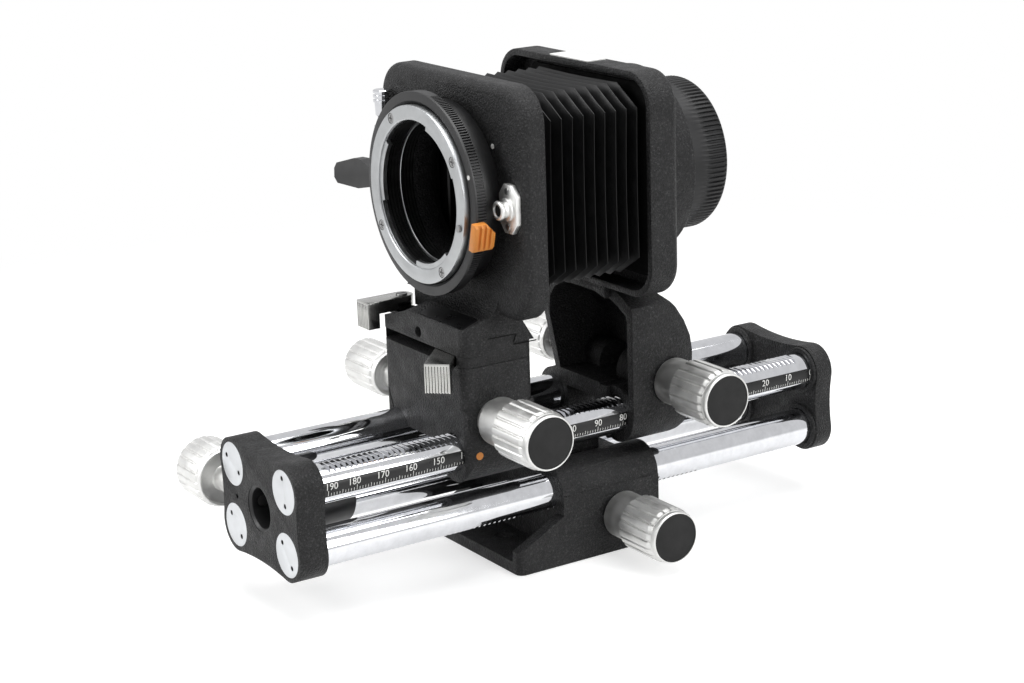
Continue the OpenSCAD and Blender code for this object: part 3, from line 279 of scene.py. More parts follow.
# Brushed nickel plate of the two small levers: it mirrors the dark block beside it
NICKEL = plain_finish("brushed_nickel_plate", "#b9b9b6", 0.2, 1.0, grain_mm=0.4, bump=0.08)
# Faced aluminium caps, a little flatter in light than the knobs
CAP_FACE = plain_finish("faced_aluminium", "#cfd1d3", 0.5, 1.0, grain_mm=0.25, bump=0.16)
# Stainless bayonet ring, finely turned
BAYONET = plain_finish("turned_stainless_steel", "#b4b6b7", 0.36, 1.0, grain_mm=0.3, bump=0.12)
# Machined steel of shafts, pinions and screws
STEEL = plain_finish("machined_steel", "#9a9a9a", 0.35, 1.0)
# Satin black anodised aluminium of the lens ring and its housing
BLACK_SATIN = plain_finish("black_anodised_aluminium", "#1a1a1b", 0.42, grain_mm=0.35, bump=0.1, level=0.45)
# Black lacquer on the scale strip
BLACK_LACQUER = plain_finish("black_lacquer", "#0b0b0c", 0.3, grain_mm=0.8, bump=0.04, level=0.4)
# Filled engraving of the scale
WHITE_INK = plain_finish("white_scale_paint", "#e9e9e6", 0.6)
# Matt black discs in the knobs' ends
BLACK_DISC = plain_finish("black_leatherette_disc", "#191919", 0.62, grain_mm=0.35, bump=0.3, level=0.3)
# Moulded ABS of the rear cap
BLACK_ABS = plain_finish("black_moulded_abs", "#131314", 0.45, grain_mm=0.4, bump=0.12, level=0.35)
# Orange moulded plastic of the catch and the index dot
ORANGE = plain_finish("orange_moulded_plastic", "#d98a3c", 0.42, ior=1.46, grain_mm=0.3, bump=0.06)
# Matt flocked paint inside, which takes nearly all light; the same black also serves as painted shade on the flat
# discs and strips put in holes, hole mouths and gaps
FLOCK_AND_PAINTED_SHADE = plain_finish("matt_black_flock_and_painted_shade", "#040404", 0.85, level=0.15)
# Bellows cloth: thin coated fabric, dull black with a faint sheen at its folds
CLOTH = plain_finish("coated_bellows_cloth", "#0e0e0f", 0.46, grain_mm=0.6, bump=0.25, level=0.4)
# Blank plate on the rear frame
WHITE_PLATE = plain_finish("blank_white_plate", "#e4e4e2", 0.5)


# ---- the CAD pieces with finished edges ----

def prism(points, a, b, axis):
    """A closed prism from an outline: (y, z) swept along X, or (x, y) swept along Z."""
    count = len(points)
    if axis == "X":
        corners = [(a, p, q) for p, q in points] + [(b, p, q) for p, q in points]
    else:
        corners = [(p, q, a) for p, q in points] + [(p, q, b) for p, q in points]
    faces = [list(range(count)), list(range(count, 2 * count))]
    faces += [[i, (i + 1) % count, (i + 1) % count + count, i + count] for i in range(count)]
    mesh = bpy.data.meshes.new("prism")
    mesh.from_pydata([Vector(c) * MM for c in corners], [], faces)
    obj = bpy.data.objects.new("prism", mesh)
    bpy.context.scene.collection.objects.link(obj)
    select_only(obj)
    bpy.ops.object.mode_set(mode="EDIT")
    bpy.ops.mesh.select_all(action="SELECT")
    bpy.ops.mesh.normals_make_consistent(inside=False)
    bpy.ops.object.mode_set(mode="OBJECT")
    return obj


def combine(obj, tool, operation):
    """Joins or cuts with a second solid, which is used up."""
    step = obj.modifiers.new("combine", "BOOLEAN")
    step.operation = operation
    step.object = tool
    step.solver = "EXACT"
    apply_modifiers(obj)
    bpy.data.objects.remove(tool)


def on_circle(radius, degrees):
    return radius * math.cos(math.radians(degrees)), radius * math.sin(math.radians(degrees))


def round_corners(half_width, y0, y1, r, steps=5):
    """A rectangle with rounded corners, as wide to the left as to the right."""
    x = half_width - r
    corners = ((x, y1 - r, 0), (-x, y1 - r, 90), (-x, y0 + r, 180), (x, y0 + r, 270))
    arcs = [(cx, cy, on_circle(r, start + 90 * k / steps)) for cx, cy, start in corners for k in range(steps + 1)]
    return [(cx + dx, cy + dy) for cx, cy, (dx, dy) in arcs]


def rod(x, y, z0, z1, r, steps=40):
    ring = [on_circle(r, 360 * k / steps) for k in range(steps)]
    return prism([(x + dx, y + dy) for dx, dy in ring], z0, z1, "Z")


def cut_along_x(obj, outline, a=-40, b=40):
    combine(obj, prism(outline, a, b, "X"), "DIFFERENCE")


def cut_turned(obj, cutter, turn):
    """Cuts with a solid that is first turned into place."""
    cutter.matrix_world = turn
    place_in_mesh(cutter)
    combine(obj, cutter, "DIFFERENCE")


def square_foot(block):
    """The foot's straight sloping webs, flush sides and small corners."""
    half, front, rear, wall, far = 26.5, -36.8, 33.2, 4, 60
    block_end, web_front_z, web_rear_z = 19.05, 16.7, 13.6   # where the webs meet the block
    overlap = 0.15                                           # the new foot reaches this far into the block
    for side in (-1, 1):
        cut_along_x(block, [(-far, -1), (far, -1), (far, 6), (-far, 6)], side * half, side * 40)
    cut_along_x(block, [(-block_end, far), (-block_end, web_front_z), (-far, -4.0), (-far, far)])
    cut_along_x(block, [(block_end, far), (block_end, web_rear_z), (rear, 4.1), (rear, -2), (far, -2), (far, far)])
    foot = prism(round_corners(half, front, rear, 2.6), 0, 16.9, "Z")
    inner = block_end - overlap
    cut_along_x(foot, [(-inner, far), (-inner, web_front_z), (front - 1, 7.1), (front - 1, far)])
    cut_along_x(foot, [(inner, far), (inner, web_rear_z), (rear + 1, 4.0), (rear + 1, far)])
    cut_along_x(foot, [(-far, 4), (far, 4), (far, far), (-far, far)], -half + wall, half - wall)
    combine(foot, rod(0, 0, -2, 9, 6), "DIFFERENCE")         # leaves the tripod socket clear
    middle = 18.8                                            # the block itself fills the space between the webs
    cut_along_x(foot, [(-middle, -2), (middle, -2), (middle, far), (-middle, far)], -20, 20)
    combine(foot, rod(0, -25.6, -2, 9, 3.2), "DIFFERENCE")   # the plain hole in the foot
    combine(block, foot, "UNION")


def set_back_wall(leg):
    """The leg's right wall starts a little behind its other front edges."""
    wall_y, wall_x, top = 9.1, 14, 86.9
    cut_along_x(leg, [(0, 30), (wall_y, 30), (wall_y, top), (0, top)], wall_x, 40)


def finger_grooves(tab):
    """Three grooves for the finger and the slanting corner of the catch."""
    turn = Matrix.Translation((0, 0, AXIS_Z * MM)) @ Matrix.Rotation(math.radians(14), 4, "Y")
    floor_r, mouth_r, outside = 34.35, 34.55, 36
    for y in (FACE_Y + 1.5, FACE_Y + 3.3, FACE_Y + 5.1):
        outline = [(floor_r, y - 0.5), (mouth_r, y - 0.62), (outside, y - 0.62), (outside, y + 0.62),
                   (mouth_r, y + 0.62), (floor_r, y + 0.5)]
        cut_turned(tab, prism(outline, -6, 6, "Z"), turn)
    corner = [(FACE_Y + 7.2, 1.2), (FACE_Y + 7.2, 6), (FACE_Y + 3.6, 6), (FACE_Y + 4.2, 4.45)]
    cut_turned(tab, prism(corner, 30, 40, "X"), turn)


def lever_grooves(lever):
    """Deeper grooves between the ridges of the swing lever's head, which stands turned to the left."""
    pivot_y, angle, front, pitch, count = -40.9, -43, 32.6, 0.95, 8
    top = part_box("swing_lever")[1][2] / MM
    turn = Matrix.Translation((0, pivot_y * MM, 0)) @ Matrix.Rotation(math.radians(angle), 4, "Z")
    for i in range(count):
        c = (i - (count - 1) / 2) * pitch
        outline = [(front - 0.6, c - 0.14), (front + 0.2, c - 0.34), (front + 0.2, c + 0.34), (front - 0.6, c + 0.14)]
        cut_turned(lever, prism(outline, top - 9.6, top - 0.8, "Z"), turn)


RESHAPE = {"tripod_block": square_foot, "rear_leg": set_back_wall, "release_tab": finger_grooves,
           "swing_lever": lever_grooves}


def dress(node, material, edge, reshape=None):
    """A merged copy of a CAD node with its edges rounded, which stands for the node."""
    source = frame["nodes"][node]
    copy = bpy.data.objects.new(node + "_finished", source.data.copy())
    bpy.context.scene.collection.objects.link(copy)
    copy.matrix_world = source.matrix_world.copy()
    place_in_mesh(copy)
    if copy.data.has_custom_normals:
        bpy.ops.mesh.customdata_custom_splitnormals_clear()
    bpy.ops.object.mode_set(mode="EDIT")
    bpy.ops.mesh.select_all(action="SELECT")
    bpy.ops.mesh.remove_doubles(threshold=0.002 * MM)
    bpy.ops.mesh.dissolve_limited(angle_limit=math.radians(0.5))
    bpy.ops.object.mode_set(mode="OBJECT")
    if reshape:
        reshape(copy)
    soften(copy, edge)
    smooth(copy)
    own(copy, node + "_finished", material, body_name(node))
    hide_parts(node)


DRESSED = {
    CRACKLE: ("tripod_block", "front_end_plate", "rear_end_plate", "front_carriage", "front_frame",
              "rear_frame", "rear_leg"),
    CRACKLE_FINE: ("swing_block",),
    BLACK_SATIN: ("mount_housing", "stop_lever", "socket_sleeve"),
    ALUMINIUM: ("release_socket",),
    NICKEL: ("swing_lever", "shift_lever"),
    CAP_FACE: ("front_tube_caps", "rear_tube_caps"),
    BLACK_DISC: ("focus_knob_disc", "front_drive_disc", "rear_drive_disc"),
    ORANGE: ("release_tab",),
    WHITE_PLATE: ("top_plate",),
}
# Radius of the rounded edges, in millimetres
EDGES = {CRACKLE: 0.5, CRACKLE_FINE: 0.35, BLACK_SATIN: 0.2, ALUMINIUM: 0.14, NICKEL: 0.1, CAP_FACE: 0.2,
         BLACK_DISC: 0.1, ORANGE: 0.35, WHITE_PLATE: 0.1}
for finish, names in DRESSED.items():
    for name in names:
        dress(name, finish, EDGES[finish], reshape=RESHAPE.get(name))

AS_MADE = {
    CHROME: ("upper_left_tube", "upper_right_tube", "lower_left_tube", "lower_right_tube", "camera_mount_ring",
             "plunger_guide", "plunger_button"),
    ALUMINIUM: ("focus_pinion_bush", "front_pinion_bush", "rear_pinion_bush"),
    STEEL: ("focus_pinion", "front_pinion", "rear_pinion", "focus_lock_screw", "front_lock_screw",
            "rear_lock_screw", "socket_clamp_screw", "swing_pivot", "bayonet_screws", "lens_lock_pin"),
    BLACK_LACQUER: ("scale_strip", "badge_plate"),
    FLOCK_AND_PAINTED_SHADE: ("bellows_front_plate", "bellows_rear_plate"),
    ORANGE: ("index_dot",),
}
for finish, names in AS_MADE.items():
    for name in names:
        mesh = frame["nodes"][name].data
        mesh.materials.clear()
        mesh.materials.append(finish)


# ---- the bellows: ten folds of thin cloth, in four stretches that bend one joint each ----

FOLDS = 10
BELLOWS_Y0, BELLOWS_Y1 = -32.1, 12.2
COLLAR = 1.75
PITCH = (BELLOWS_Y1 - BELLOWS_Y0 - 2 * COLLAR) / FOLDS
RIDGE = (32.4, 30.9, 10.5, 6.8)     # half width, half height and the corner's cut in x and in z
VALLEY = (25.0, 24.5, 1.3, 1.3)
# Where a fold's profile lies between its valley at 0 and its ridge at 1
PROFILE = ((0.0, 0.0), (0.06, 0.04), (0.22, 0.42), (0.42, 0.9), (0.47, 0.985), (0.5, 1.0), (0.53, 0.985),
           (0.58, 0.9), (0.78, 0.42), (0.94, 0.04))


def fold_corners(share):
    """The eight corners of the bellows' section, between valley (0) and ridge (1)."""
    a, b, cut_x, cut_z = (v + (r - v) * share for v, r in zip(VALLEY, RIDGE))
    return [(a, -b + cut_z), (a, b - cut_z), (a - cut_x, b), (-a + cut_x, b),
            (-a, b - cut_z), (-a, -b + cut_z), (-a + cut_x, -b), (a - cut_x, -b)]


SIDE_STEPS = (10, 3, 10, 3, 10, 3, 10, 3)


def fold_ring(share, y, lean):
    """Points round one ring; the long sides' middles hang in a little where the cloth is free."""
    corners = fold_corners(share)
    points = []
    for i, steps in enumerate(SIDE_STEPS):
        (x0, z0), (x1, z1) = corners[i], corners[(i + 1) % 8]
        for k in range(steps):
            t = k / steps
            bow = math.sin(math.pi * t) * (0.35 if steps > 3 else 0.0) * share
            x, z = x0 + (x1 - x0) * t, z0 + (z1 - z0) * t
            length = math.hypot(x, z)
            x, z = x - x / length * bow, z - z / length * bow
            points.append((x, y + lean * math.sin(math.pi * t) * share, AXIS_Z + z))
    return points


random.seed(7)
fold_leans = [random.uniform(-0.22, 0.22) for _ in range(FOLDS)]


def bellows_stretch(name, first, last, a, b, start_y, end_y):
    """The folds from valley number first to valley number last."""
    rings = []
    if first == 0:
        rings += [fold_ring(0.0, BELLOWS_Y0 + 0.05, 0), fold_ring(0.0, BELLOWS_Y0 + 0.9, 0)]
    for k in range(first, last):
        for t, share in PROFILE:
            rings.append(fold_ring(share, BELLOWS_Y0 + COLLAR + (k + t) * PITCH, fold_leans[k]))
    rings.append(fold_ring(0.0, BELLOWS_Y0 + COLLAR + last * PITCH, 0))
    if last == FOLDS:
        rings += [fold_ring(0.0, BELLOWS_Y1 - 0.9, 0), fold_ring(0.0, BELLOWS_Y1 - 0.05, 0)]
    around = len(rings[0])
    deselect()
    bpy.ops.mesh.primitive_grid_add(x_subdivisions=around, y_subdivisions=len(rings) - 1, size=1)
    obj = bpy.context.object
    columns = around + 1
    for index, vertex in enumerate(obj.data.vertices):
        row, column = divmod(index, columns)
        vertex.co = Vector(rings[row][column % around]) * MM
    bpy.ops.object.mode_set(mode="EDIT")
    bpy.ops.mesh.select_all(action="SELECT")
    bpy.ops.mesh.remove_doubles(threshold=0.001 * MM)
    bpy.ops.mesh.normals_make_consistent(inside=False)
    bpy.ops.object.mode_set(mode="OBJECT")
    skin = obj.modifiers.new("skin", "SOLIDIFY")
    skin.thickness = 0.35 * MM
    skin.offset = -1
    apply_modifiers(obj)
    smooth(obj, 28)
    own(obj, name, CLOTH)
    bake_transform(obj, a, b, start=(0, start_y * MM, AXIS_Z * MM), end=(0, end_y * MM, AXIS_Z * MM))
    return obj


def valley_y(k):
    return BELLOWS_Y0 + COLLAR + k * PITCH


stretches = [
    bellows_stretch("bellows_shift_stretch", 0, 2, "swing_block", "front_frame", valley_y(2), BELLOWS_Y0),
    bellows_stretch("bellows_swing_stretch", 2, 5, "front_carriage", "swing_block", valley_y(5), valley_y(2)),
    bellows_stretch("bellows_middle_stretch", 5, 8, "rails", "front_carriage", valley_y(8), valley_y(5)),
    bellows_stretch("bellows_rear_stretch", 8, 10, "rear_standard", "rails", BELLOWS_Y1, valley_y(8)),
]
for stretch in stretches:
    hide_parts("bellows")


# ---- the millimetre scale on the upper right tube ----

def on_strip(y, rise, lift):
    """A point on the strip: rise is the arc length above the strip's lower edge, in millimetres."""
    x, z, r = UPPER_TUBE
    angle = math.radians(-23.7) + rise / r
    return Vector((x + (r + lift) * math.cos(angle), y, z + (r + lift) * math.sin(angle))) * MM


def scale_ticks():
    """One mesh with a line for each millimetre, longer at fives and tens."""
    deselect()
    made = []
    for value in range(0, 191):
        y = SCALE_ZERO_Y - value - (0.12 if value == 0 else 0)
        length = 1.75 if value % 10 == 0 else 1.3 if value % 5 == 0 else 0.95
        bpy.ops.mesh.primitive_grid_add(x_subdivisions=1, y_subdivisions=3, size=1)
        line = bpy.context.object
        for index, vertex in enumerate(line.data.vertices):
            row, column = divmod(index, 2)
            vertex.co = on_strip(y + (column - 0.5) * 0.17, 0.35 + length * row / 3, 0.015)
        made.append(line)
    deselect()
    for line in made:
        line.select_set(True)
    bpy.context.view_layer.objects.active = made[0]
    bpy.ops.object.join()
    ticks = bpy.context.object
    bpy.ops.object.mode_set(mode="EDIT")
    bpy.ops.mesh.select_all(action="SELECT")
    bpy.ops.mesh.flip_normals()
    bpy.ops.object.mode_set(mode="OBJECT")
    own(ticks, "scale_lines", WHITE_INK, "rails")


def scale_number(value):
    """Two digits stand over their line, a third one stands before them, and the last number clears the plate."""
    shift = 1.1 if value == 190 else -0.95 if value > 99 else 0.0
    deselect()
    bpy.ops.object.text_add()
    text = bpy.context.object
    text.data.body = str(value)
    text.data.align_x = "CENTER"
    text.data.size = 3.0
    text.data.shear = 0.12
    text.data.resolution_u = 3
    bpy.ops.object.convert(target="MESH")
    number = bpy.context.object
    bpy.ops.object.mode_set(mode="EDIT")
    for step in range(1, 9):
        bpy.ops.mesh.select_all(action="SELECT")
        bpy.ops.mesh.bisect(plane_co=(0, step * 0.25, 0), plane_no=(0, 1, 0))
    bpy.ops.object.mode_set(mode="OBJECT")
    for vertex in number.data.vertices:
        vertex.co = on_strip(SCALE_ZERO_Y - value + shift + vertex.co.x, 2.35 + vertex.co.y, 0.03)
    return number


scale_ticks()
numbers = [scale_number(value) for value in range(0, 200, 10)]
deselect()
for number in numbers:
    number.select_set(True)
bpy.context.view_layer.objects.active = numbers[0]
bpy.ops.object.join()
own(bpy.context.object, "scale_numbers", WHITE_INK, "rails")


# ---- turned and fluted pieces ----

def spun(name, profile, steps, closed):
    """Spins an outline of (radius, y) about the optical axis."""
    mesh = bpy.data.meshes.new(name)
    count = len(profile)
    edges = [(i, i + 1) for i in range(count - 1)] + ([(count - 1, 0)] if closed else [])
    mesh.from_pydata([Vector((r, y, AXIS_Z)) * MM for r, y in profile], edges, [])
    obj = bpy.data.objects.new(name, mesh)
    bpy.context.scene.collection.objects.link(obj)
    select_only(obj)
    bpy.ops.object.mode_set(mode="EDIT")
    bpy.ops.mesh.select_all(action="SELECT")
    bpy.ops.mesh.spin(steps=steps, angle=2 * math.pi, center=(0, 0, AXIS_Z * MM), axis=(0, 1, 0))
    bpy.ops.mesh.select_all(action="SELECT")
    bpy.ops.mesh.remove_doubles(threshold=0.001 * MM)
    bpy.ops.mesh.normals_make_consistent(inside=False)
    bpy.ops.object.mode_set(mode="OBJECT")
    return obj


def throat_piece(name, profile, material):
    piece = spun(name, profile, 128, True)
    smooth(piece, 30)
    own(piece, name, material, "front_frame")


def banded(node, angles, outline_at, axis, centre, material, closed=False):
    """Stands for a node: a piece round an axis along X or Y whose outline of (radius, place) follows the angle."""
    name = node + "_finished"
    rows = [outline_at(a) for a in angles]
    height = len(rows[0])
    deselect()
    bpy.ops.mesh.primitive_grid_add(x_subdivisions=len(angles), y_subdivisions=height - (0 if closed else 1), size=1)
    obj = bpy.context.object
    columns = len(angles) + 1
    for index, vertex in enumerate(obj.data.vertices):
        row, column = divmod(index, columns)
        angle = angles[column % len(angles)]
        radius, place = rows[column % len(angles)][row % height]
        u, v = on_circle(radius, angle)
        if axis == "X":
            vertex.co = Vector((place, centre[0] + u, centre[1] + v)) * MM
        else:
            vertex.co = Vector((centre[0] + u, place, centre[1] + v)) * MM
    bpy.ops.object.mode_set(mode="EDIT")
    bpy.ops.mesh.select_all(action="SELECT")
    bpy.ops.mesh.remove_doubles(threshold=0.001 * MM)
    bpy.ops.mesh.normals_make_consistent(inside=False)
    bpy.ops.object.mode_set(mode="OBJECT")
    smooth(obj, 30)
    own(obj, name, material, body_name(node))
    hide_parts(node)
    return obj


# Where the samples lie across one rib, and how deep the groove between two ribs is there
RIB = ((0.0, 1.0), (0.05, 0.93), (0.1, 0.62), (0.14, 0.24), (0.17, 0.05), (0.21, 0.0), (0.35, 0.0), (0.5, 0.0),
       (0.65, 0.0), (0.79, 0.0), (0.83, 0.05), (0.86, 0.24), (0.9, 0.62), (0.95, 0.93))


def ribbed_knob(node, ribs, depth, rows, outward):
    """A knob with flat ribs; rows are (length from its inner end, radius, share of the groove's depth)."""
    low, high = box_in_mm(node)
    start = low.x if outward > 0 else high.x
    shares = {(k + place) * 360 / ribs: share for k in range(ribs) for place, share in RIB}
    centre = ((low.y + high.y) / 2, (low.z + high.z) / 2)
    outline_at = lambda a: [(r - g * depth * shares[a], start + outward * x) for x, r, g in rows]
    banded(node, list(shares), outline_at, "X", centre, ALUMINIUM)


def drive_rows(grip):
    """A drive knob from its collar to the seat of its disc."""
    return [(9.9, 0, 0), (9.9, 3.02, 0), (0.1, 3.02, 0), (0, 7.2, 0), (0.06, 7.45, 0), (0.35, 7.76, 0), (0.6, 7.8, 0),
            (10.2, 7.8, 0), (10.4, 7.85, 0), (10.42, grip - 0.62, 0), (10.5, grip - 0.2, 0.5), (10.75, grip, 1),
            (11.2, grip, 1), (25.0, grip, 1), (25.3, grip - 0.06, 1), (25.7, grip - 0.22, 0.85),
            (26.2, grip - 0.42, 0.4), (26.55, grip - 0.55, 0), (26.9, grip - 0.6, 0), (26.98, grip - 0.78, 0),
            (27.15, grip - 0.8, 0), (27.22, grip - 0.62, 0), (28.2, grip - 0.66, 0), (28.55, grip - 0.72, 0),
            (28.85, grip - 0.95, 0), (28.9, grip - 1.15, 0), (28.9, 8.25, 0), (28.84, 8.18, 0), (27.95, 8.17, 0),
            (27.9, 0, 0)]


def lock_rows(stem_r, stem, grip_len, grip):
    """A lock knob from its stem to its outer end."""
    end = stem + grip_len
    return [(stem + 8.9, 0, 0), (stem + 8.9, 3.02, 0), (0.1, 3.02, 0), (0, stem_r - 0.4, 0), (0.3, stem_r, 0),
            (stem - 1.4, stem_r, 0), (stem - 0.9, stem_r + 0.3, 0), (stem - 0.8, stem_r + 1.4, 0),
            (stem - 1.1, grip - 1.75, 0), (stem - 1.55, grip - 1.35, 0), (stem - 1.7, grip - 1.15, 0),
            (stem - 1.62, grip - 0.9, 0), (stem - 1.2, grip - 0.62, 0), (stem - 0.55, grip - 0.52, 0),
            (stem - 0.05, grip - 0.5, 0), (stem + 0.02, grip - 0.45, 0.6), (stem + 0.4, grip - 0.1, 1),
            (stem + 0.7, grip, 1), (end - 1.3, grip, 1), (end - 0.9, grip - 0.1, 0.9), (end - 0.4, grip - 0.45, 0.3),
            (end - 0.1, grip - 0.9, 0), (end, grip - 1.4, 0), (end, 0, 0)]


ribbed_knob("front_drive_knob", 20, 0.5, drive_rows(9.5), 1)
ribbed_knob("rear_drive_knob", 20, 0.5, drive_rows(9.5), 1)
ribbed_knob("focus_knob", 20, 0.46, drive_rows(9.2), 1)
ribbed_knob("front_lock_knob", 18, 0.42, lock_rows(4.6, 13.8, 18, 8.4), -1)
ribbed_knob("focus_lock_knob", 18, 0.42, lock_rows(4.6, 13.8, 18, 8.4), -1)
ribbed_knob("rear_lock_knob", 18, 0.42, lock_rows(4.0, 20.0, 18, 8.4), -1)
ribbed_knob("socket_clamp_knob", 22, 0.5, lock_rows(4.2, 8.4, 15, 10.2), -1)


def spread(steps, extra=()):
    """Angles round a circle, with pairs close together at each sharp step."""
    angles = {round(k * 360 / steps, 3) for k in range(steps)}
    for edge in extra:
        angles = {a for a in angles if min((a - edge) % 360, (edge - a) % 360) > 0.5}
        angles |= {round((edge - 0.12) % 360, 3), round((edge + 0.12) % 360, 3)}
    return sorted(angles)


# The steel bayonet: three claws stand in a little, behind the plain front edge
CLAWS = ((263, 313), (22, 74), (142, 194))
RING_BACK = FACE_Y + 2.45


def in_claw(angle):
    return any((angle - a) % 360 < (b - a) % 360 for a, b in CLAWS)


def bayonet_outline(angle):
    inner = 21.8 if in_claw(angle) else 23.45
    step = 22.6 if in_claw(angle) else 23.47
    return [(28.2, RING_BACK), (28.2, FACE_Y + 0.3), (28.1, FACE_Y + 0.08), (27.9, FACE_Y), (23.95, FACE_Y),
            (23.7, FACE_Y + 0.12), (23.5, FACE_Y + 0.4), (23.48, FACE_Y + 0.7), (step, FACE_Y + 0.72),
            (inner + 0.12, FACE_Y + 0.76), (inner, FACE_Y + 0.95), (inner, RING_BACK - 0.15),
            (inner + 0.12, RING_BACK)]


def bayonet():
    """The ring with its four screw pits and the lock pin's hole, as (distance, angle, radius, depth)."""
    edges = [a for claw in CLAWS for a in claw]
    ring = banded("bayonet_ring", spread(180, edges), bayonet_outline, "Y", (0, AXIS_Z), BAYONET, closed=True)
    pits = [(26.15, a, 1.72, 0.9) for a in (31.7, 121.1, 211.1, 301.5)] + [(26.0, -14, 1.2, 4.0)]
    for distance, angle, radius, deep in pits:
        x, z = on_circle(distance, angle)
        deselect()
        bpy.ops.mesh.primitive_cylinder_add(vertices=32, radius=radius * MM, depth=2 * deep * MM,
                                            location=(x * MM, FACE_Y * MM, (AXIS_Z + z) * MM),
                                            rotation=(math.pi / 2, 0, 0))
        combine(ring, bpy.context.object, "DIFFERENCE")
    smooth(ring, 30)


bayonet()


# The black ring round it: a plain front lip, and a knurl on the side that the finger reaches
KNURL_FROM, KNURL_TO, KNURL_PITCH = -41, 78, 1.6875     # degrees
RELEASE_SAMPLES = 1280                                  # round the ring, six to each pitch of the knurl


def release_outline(angle):
    front, rear = FACE_Y + 1.65, FACE_Y + 5.75
    turn = (angle + 180) % 360 - 180
    groove = KNURL_FROM < turn < KNURL_TO and (angle / KNURL_PITCH) % 1.0 < 0.5
    side = 31.6 if groove else 32.2
    return [(28.28, rear), (28.28, front + 1.0), (29.2, front + 0.12), (29.35, front), (31.95, front),
            (32.2, front + 0.1), (32.3, front + 0.35), (32.3, front + 0.8), (32.2, front + 0.86),
            (side, front + 0.95), (side, rear - 0.25), (side - 0.2, rear)]


banded("release_ring", [k * 360 / RELEASE_SAMPLES for k in range(RELEASE_SAMPLES)], release_outline, "Y",
       (0, AXIS_Z), BLACK_SATIN, closed=True)


def zigzag(r_out, r_in, y0, y1, count):
    step = (y1 - y0) / count
    points = []
    for k in range(count):
        points += [(r_out, y0 + k * step), (r_in, y0 + (k + 0.5) * step)]
    return points + [(r_out, y1)]


# Light-trap rings inside the throat
throat_piece("throat_rings", zigzag(23.4, 22.95, FACE_Y + 2.6, FRONT_Y0, 9)
             + [(23.45, FRONT_Y0), (23.45, FACE_Y + 2.6)], FLOCK_AND_PAINTED_SHADE)
# The bright turned lip further in
throat_piece("throat_lip", [(22.2, -46.15), (22.3, -46.3), (23.2, -46.3), (23.2, -45.9), (22.3, -45.9),
                            (22.2, -46.0)], BAYONET)


def serrated_cap():
    """The rear cap: its rim has fine serrations that fade out towards the mount."""
    y0, teeth = BOSS_Y1 + 0.1, 96
    groove_depth, fade_from, fade_length = 0.62, 8.6, 3.2
    outline = [(0.0, 18.0), (22.9, 18.0), (23.3, 17.4), (24.0, 17.4), (24.4, 18.0), (25.0, 17.7), (25.3, 17.2),
               (25.5, 16.6), (25.5, 15.0), (25.5, 13.0), (25.5, 11.2), (25.4, 10.2), (25.25, 9.0), (25.2, 7.0),
               (25.2, 2.0), (25.1, 0.3), (24.8, 0.0), (23.8, 0.0), (23.8, 15.5), (0.0, 15.5)]
    obj = spun("rear_cap_body", [(r, y0 + y) for r, y in outline], teeth * 6, False)
    for vertex in obj.data.vertices:
        x, y, z = vertex.co.x / MM, vertex.co.y / MM - y0, vertex.co.z / MM - AXIS_Z
        r = math.hypot(x, z)
        if r < 25.15 or y < 0.6:
            continue
        depth = min(1.0, max(0.0, (y - fade_from) / fade_length)) * groove_depth
        phase = (math.atan2(z, x) / (2 * math.pi) * teeth) % 1.0
        groove = depth if 0.3 < phase < 0.8 else 0.0
        vertex.co = Vector((x * (r - groove) / r, y + y0, z * (r - groove) / r + AXIS_Z)) * MM
    smooth(obj, 30)
    own(obj, "rear_cap_body", BLACK_ABS, "rear_cap")
    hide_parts("rear_cap")


serrated_cap()


def small_disc(name, at, axis, radius, height, material, body, edge=0.0, vertices=32):
    """A low round piece such as a painted dot or a screw head; at is its base's middle."""
    deselect()
    bpy.ops.mesh.primitive_cylinder_add(vertices=vertices, radius=radius * MM, depth=height * MM)
    disc = bpy.context.object
    turn = Vector((0, 0, 1)).rotation_difference(Vector(axis)).to_matrix().to_4x4()
    disc.matrix_world = Matrix.Translation((Vector(at) + Vector(axis) * height / 2) * MM) @ turn
    place_in_mesh(disc)
    if edge:
        soften(disc, edge, 40)
    smooth(disc)
    own(disc, name, material, body)
    return disc


SOUTH = (0, -1, 0)


def socket_screw(name, z, slot_angle):
    """A screw head on the cable socket's flange, with a straight slot across it."""
    at, radius, height = Vector((35.2, FRONT_Y0 - 1.7, z)), 1.1, 0.4
    head = small_disc(name, at, SOUTH, radius, height, STEEL, "front_frame", edge=height / 3)
    deselect()
    bpy.ops.mesh.primitive_cube_add(size=1)
    cutter = bpy.context.object
    turn = Vector((0, 0, 1)).rotation_difference(Vector(SOUTH)).to_matrix().to_4x4()
    spin = Matrix.Rotation(math.radians(slot_angle), 4, "Z")
    centre = Matrix.Translation((at + Vector(SOUTH) * height) * MM)
    size = Matrix.Diagonal((radius * 3 * MM, radius * 0.26 * MM, height * MM, 1.0))
    cut_turned(head, cutter, centre @ turn @ spin @ size)
    smooth(head)


def collar_hole(knob, length, angle, body):
    """The set screw's hole in a drive knob's collar, drawn as a flat dark disc of painted shade for its mouth."""
    low, high = box_in_mm(knob)
    out = Vector((0, *on_circle(1, angle)))
    middle = Vector((low.x + length, (low.y + high.y) / 2, (low.z + high.z) / 2))
    small_disc(knob + "_set_screw_hole_shade", middle + out * 7.76, out, 0.62, 0.06, FLOCK_AND_PAINTED_SHADE, body)


# Painted shade for the set screw holes of two drive knobs
collar_hole("front_drive_knob", 9.5, 144, "front_drive")
collar_hole("focus_knob", 9.2, 91, "focus_drive")


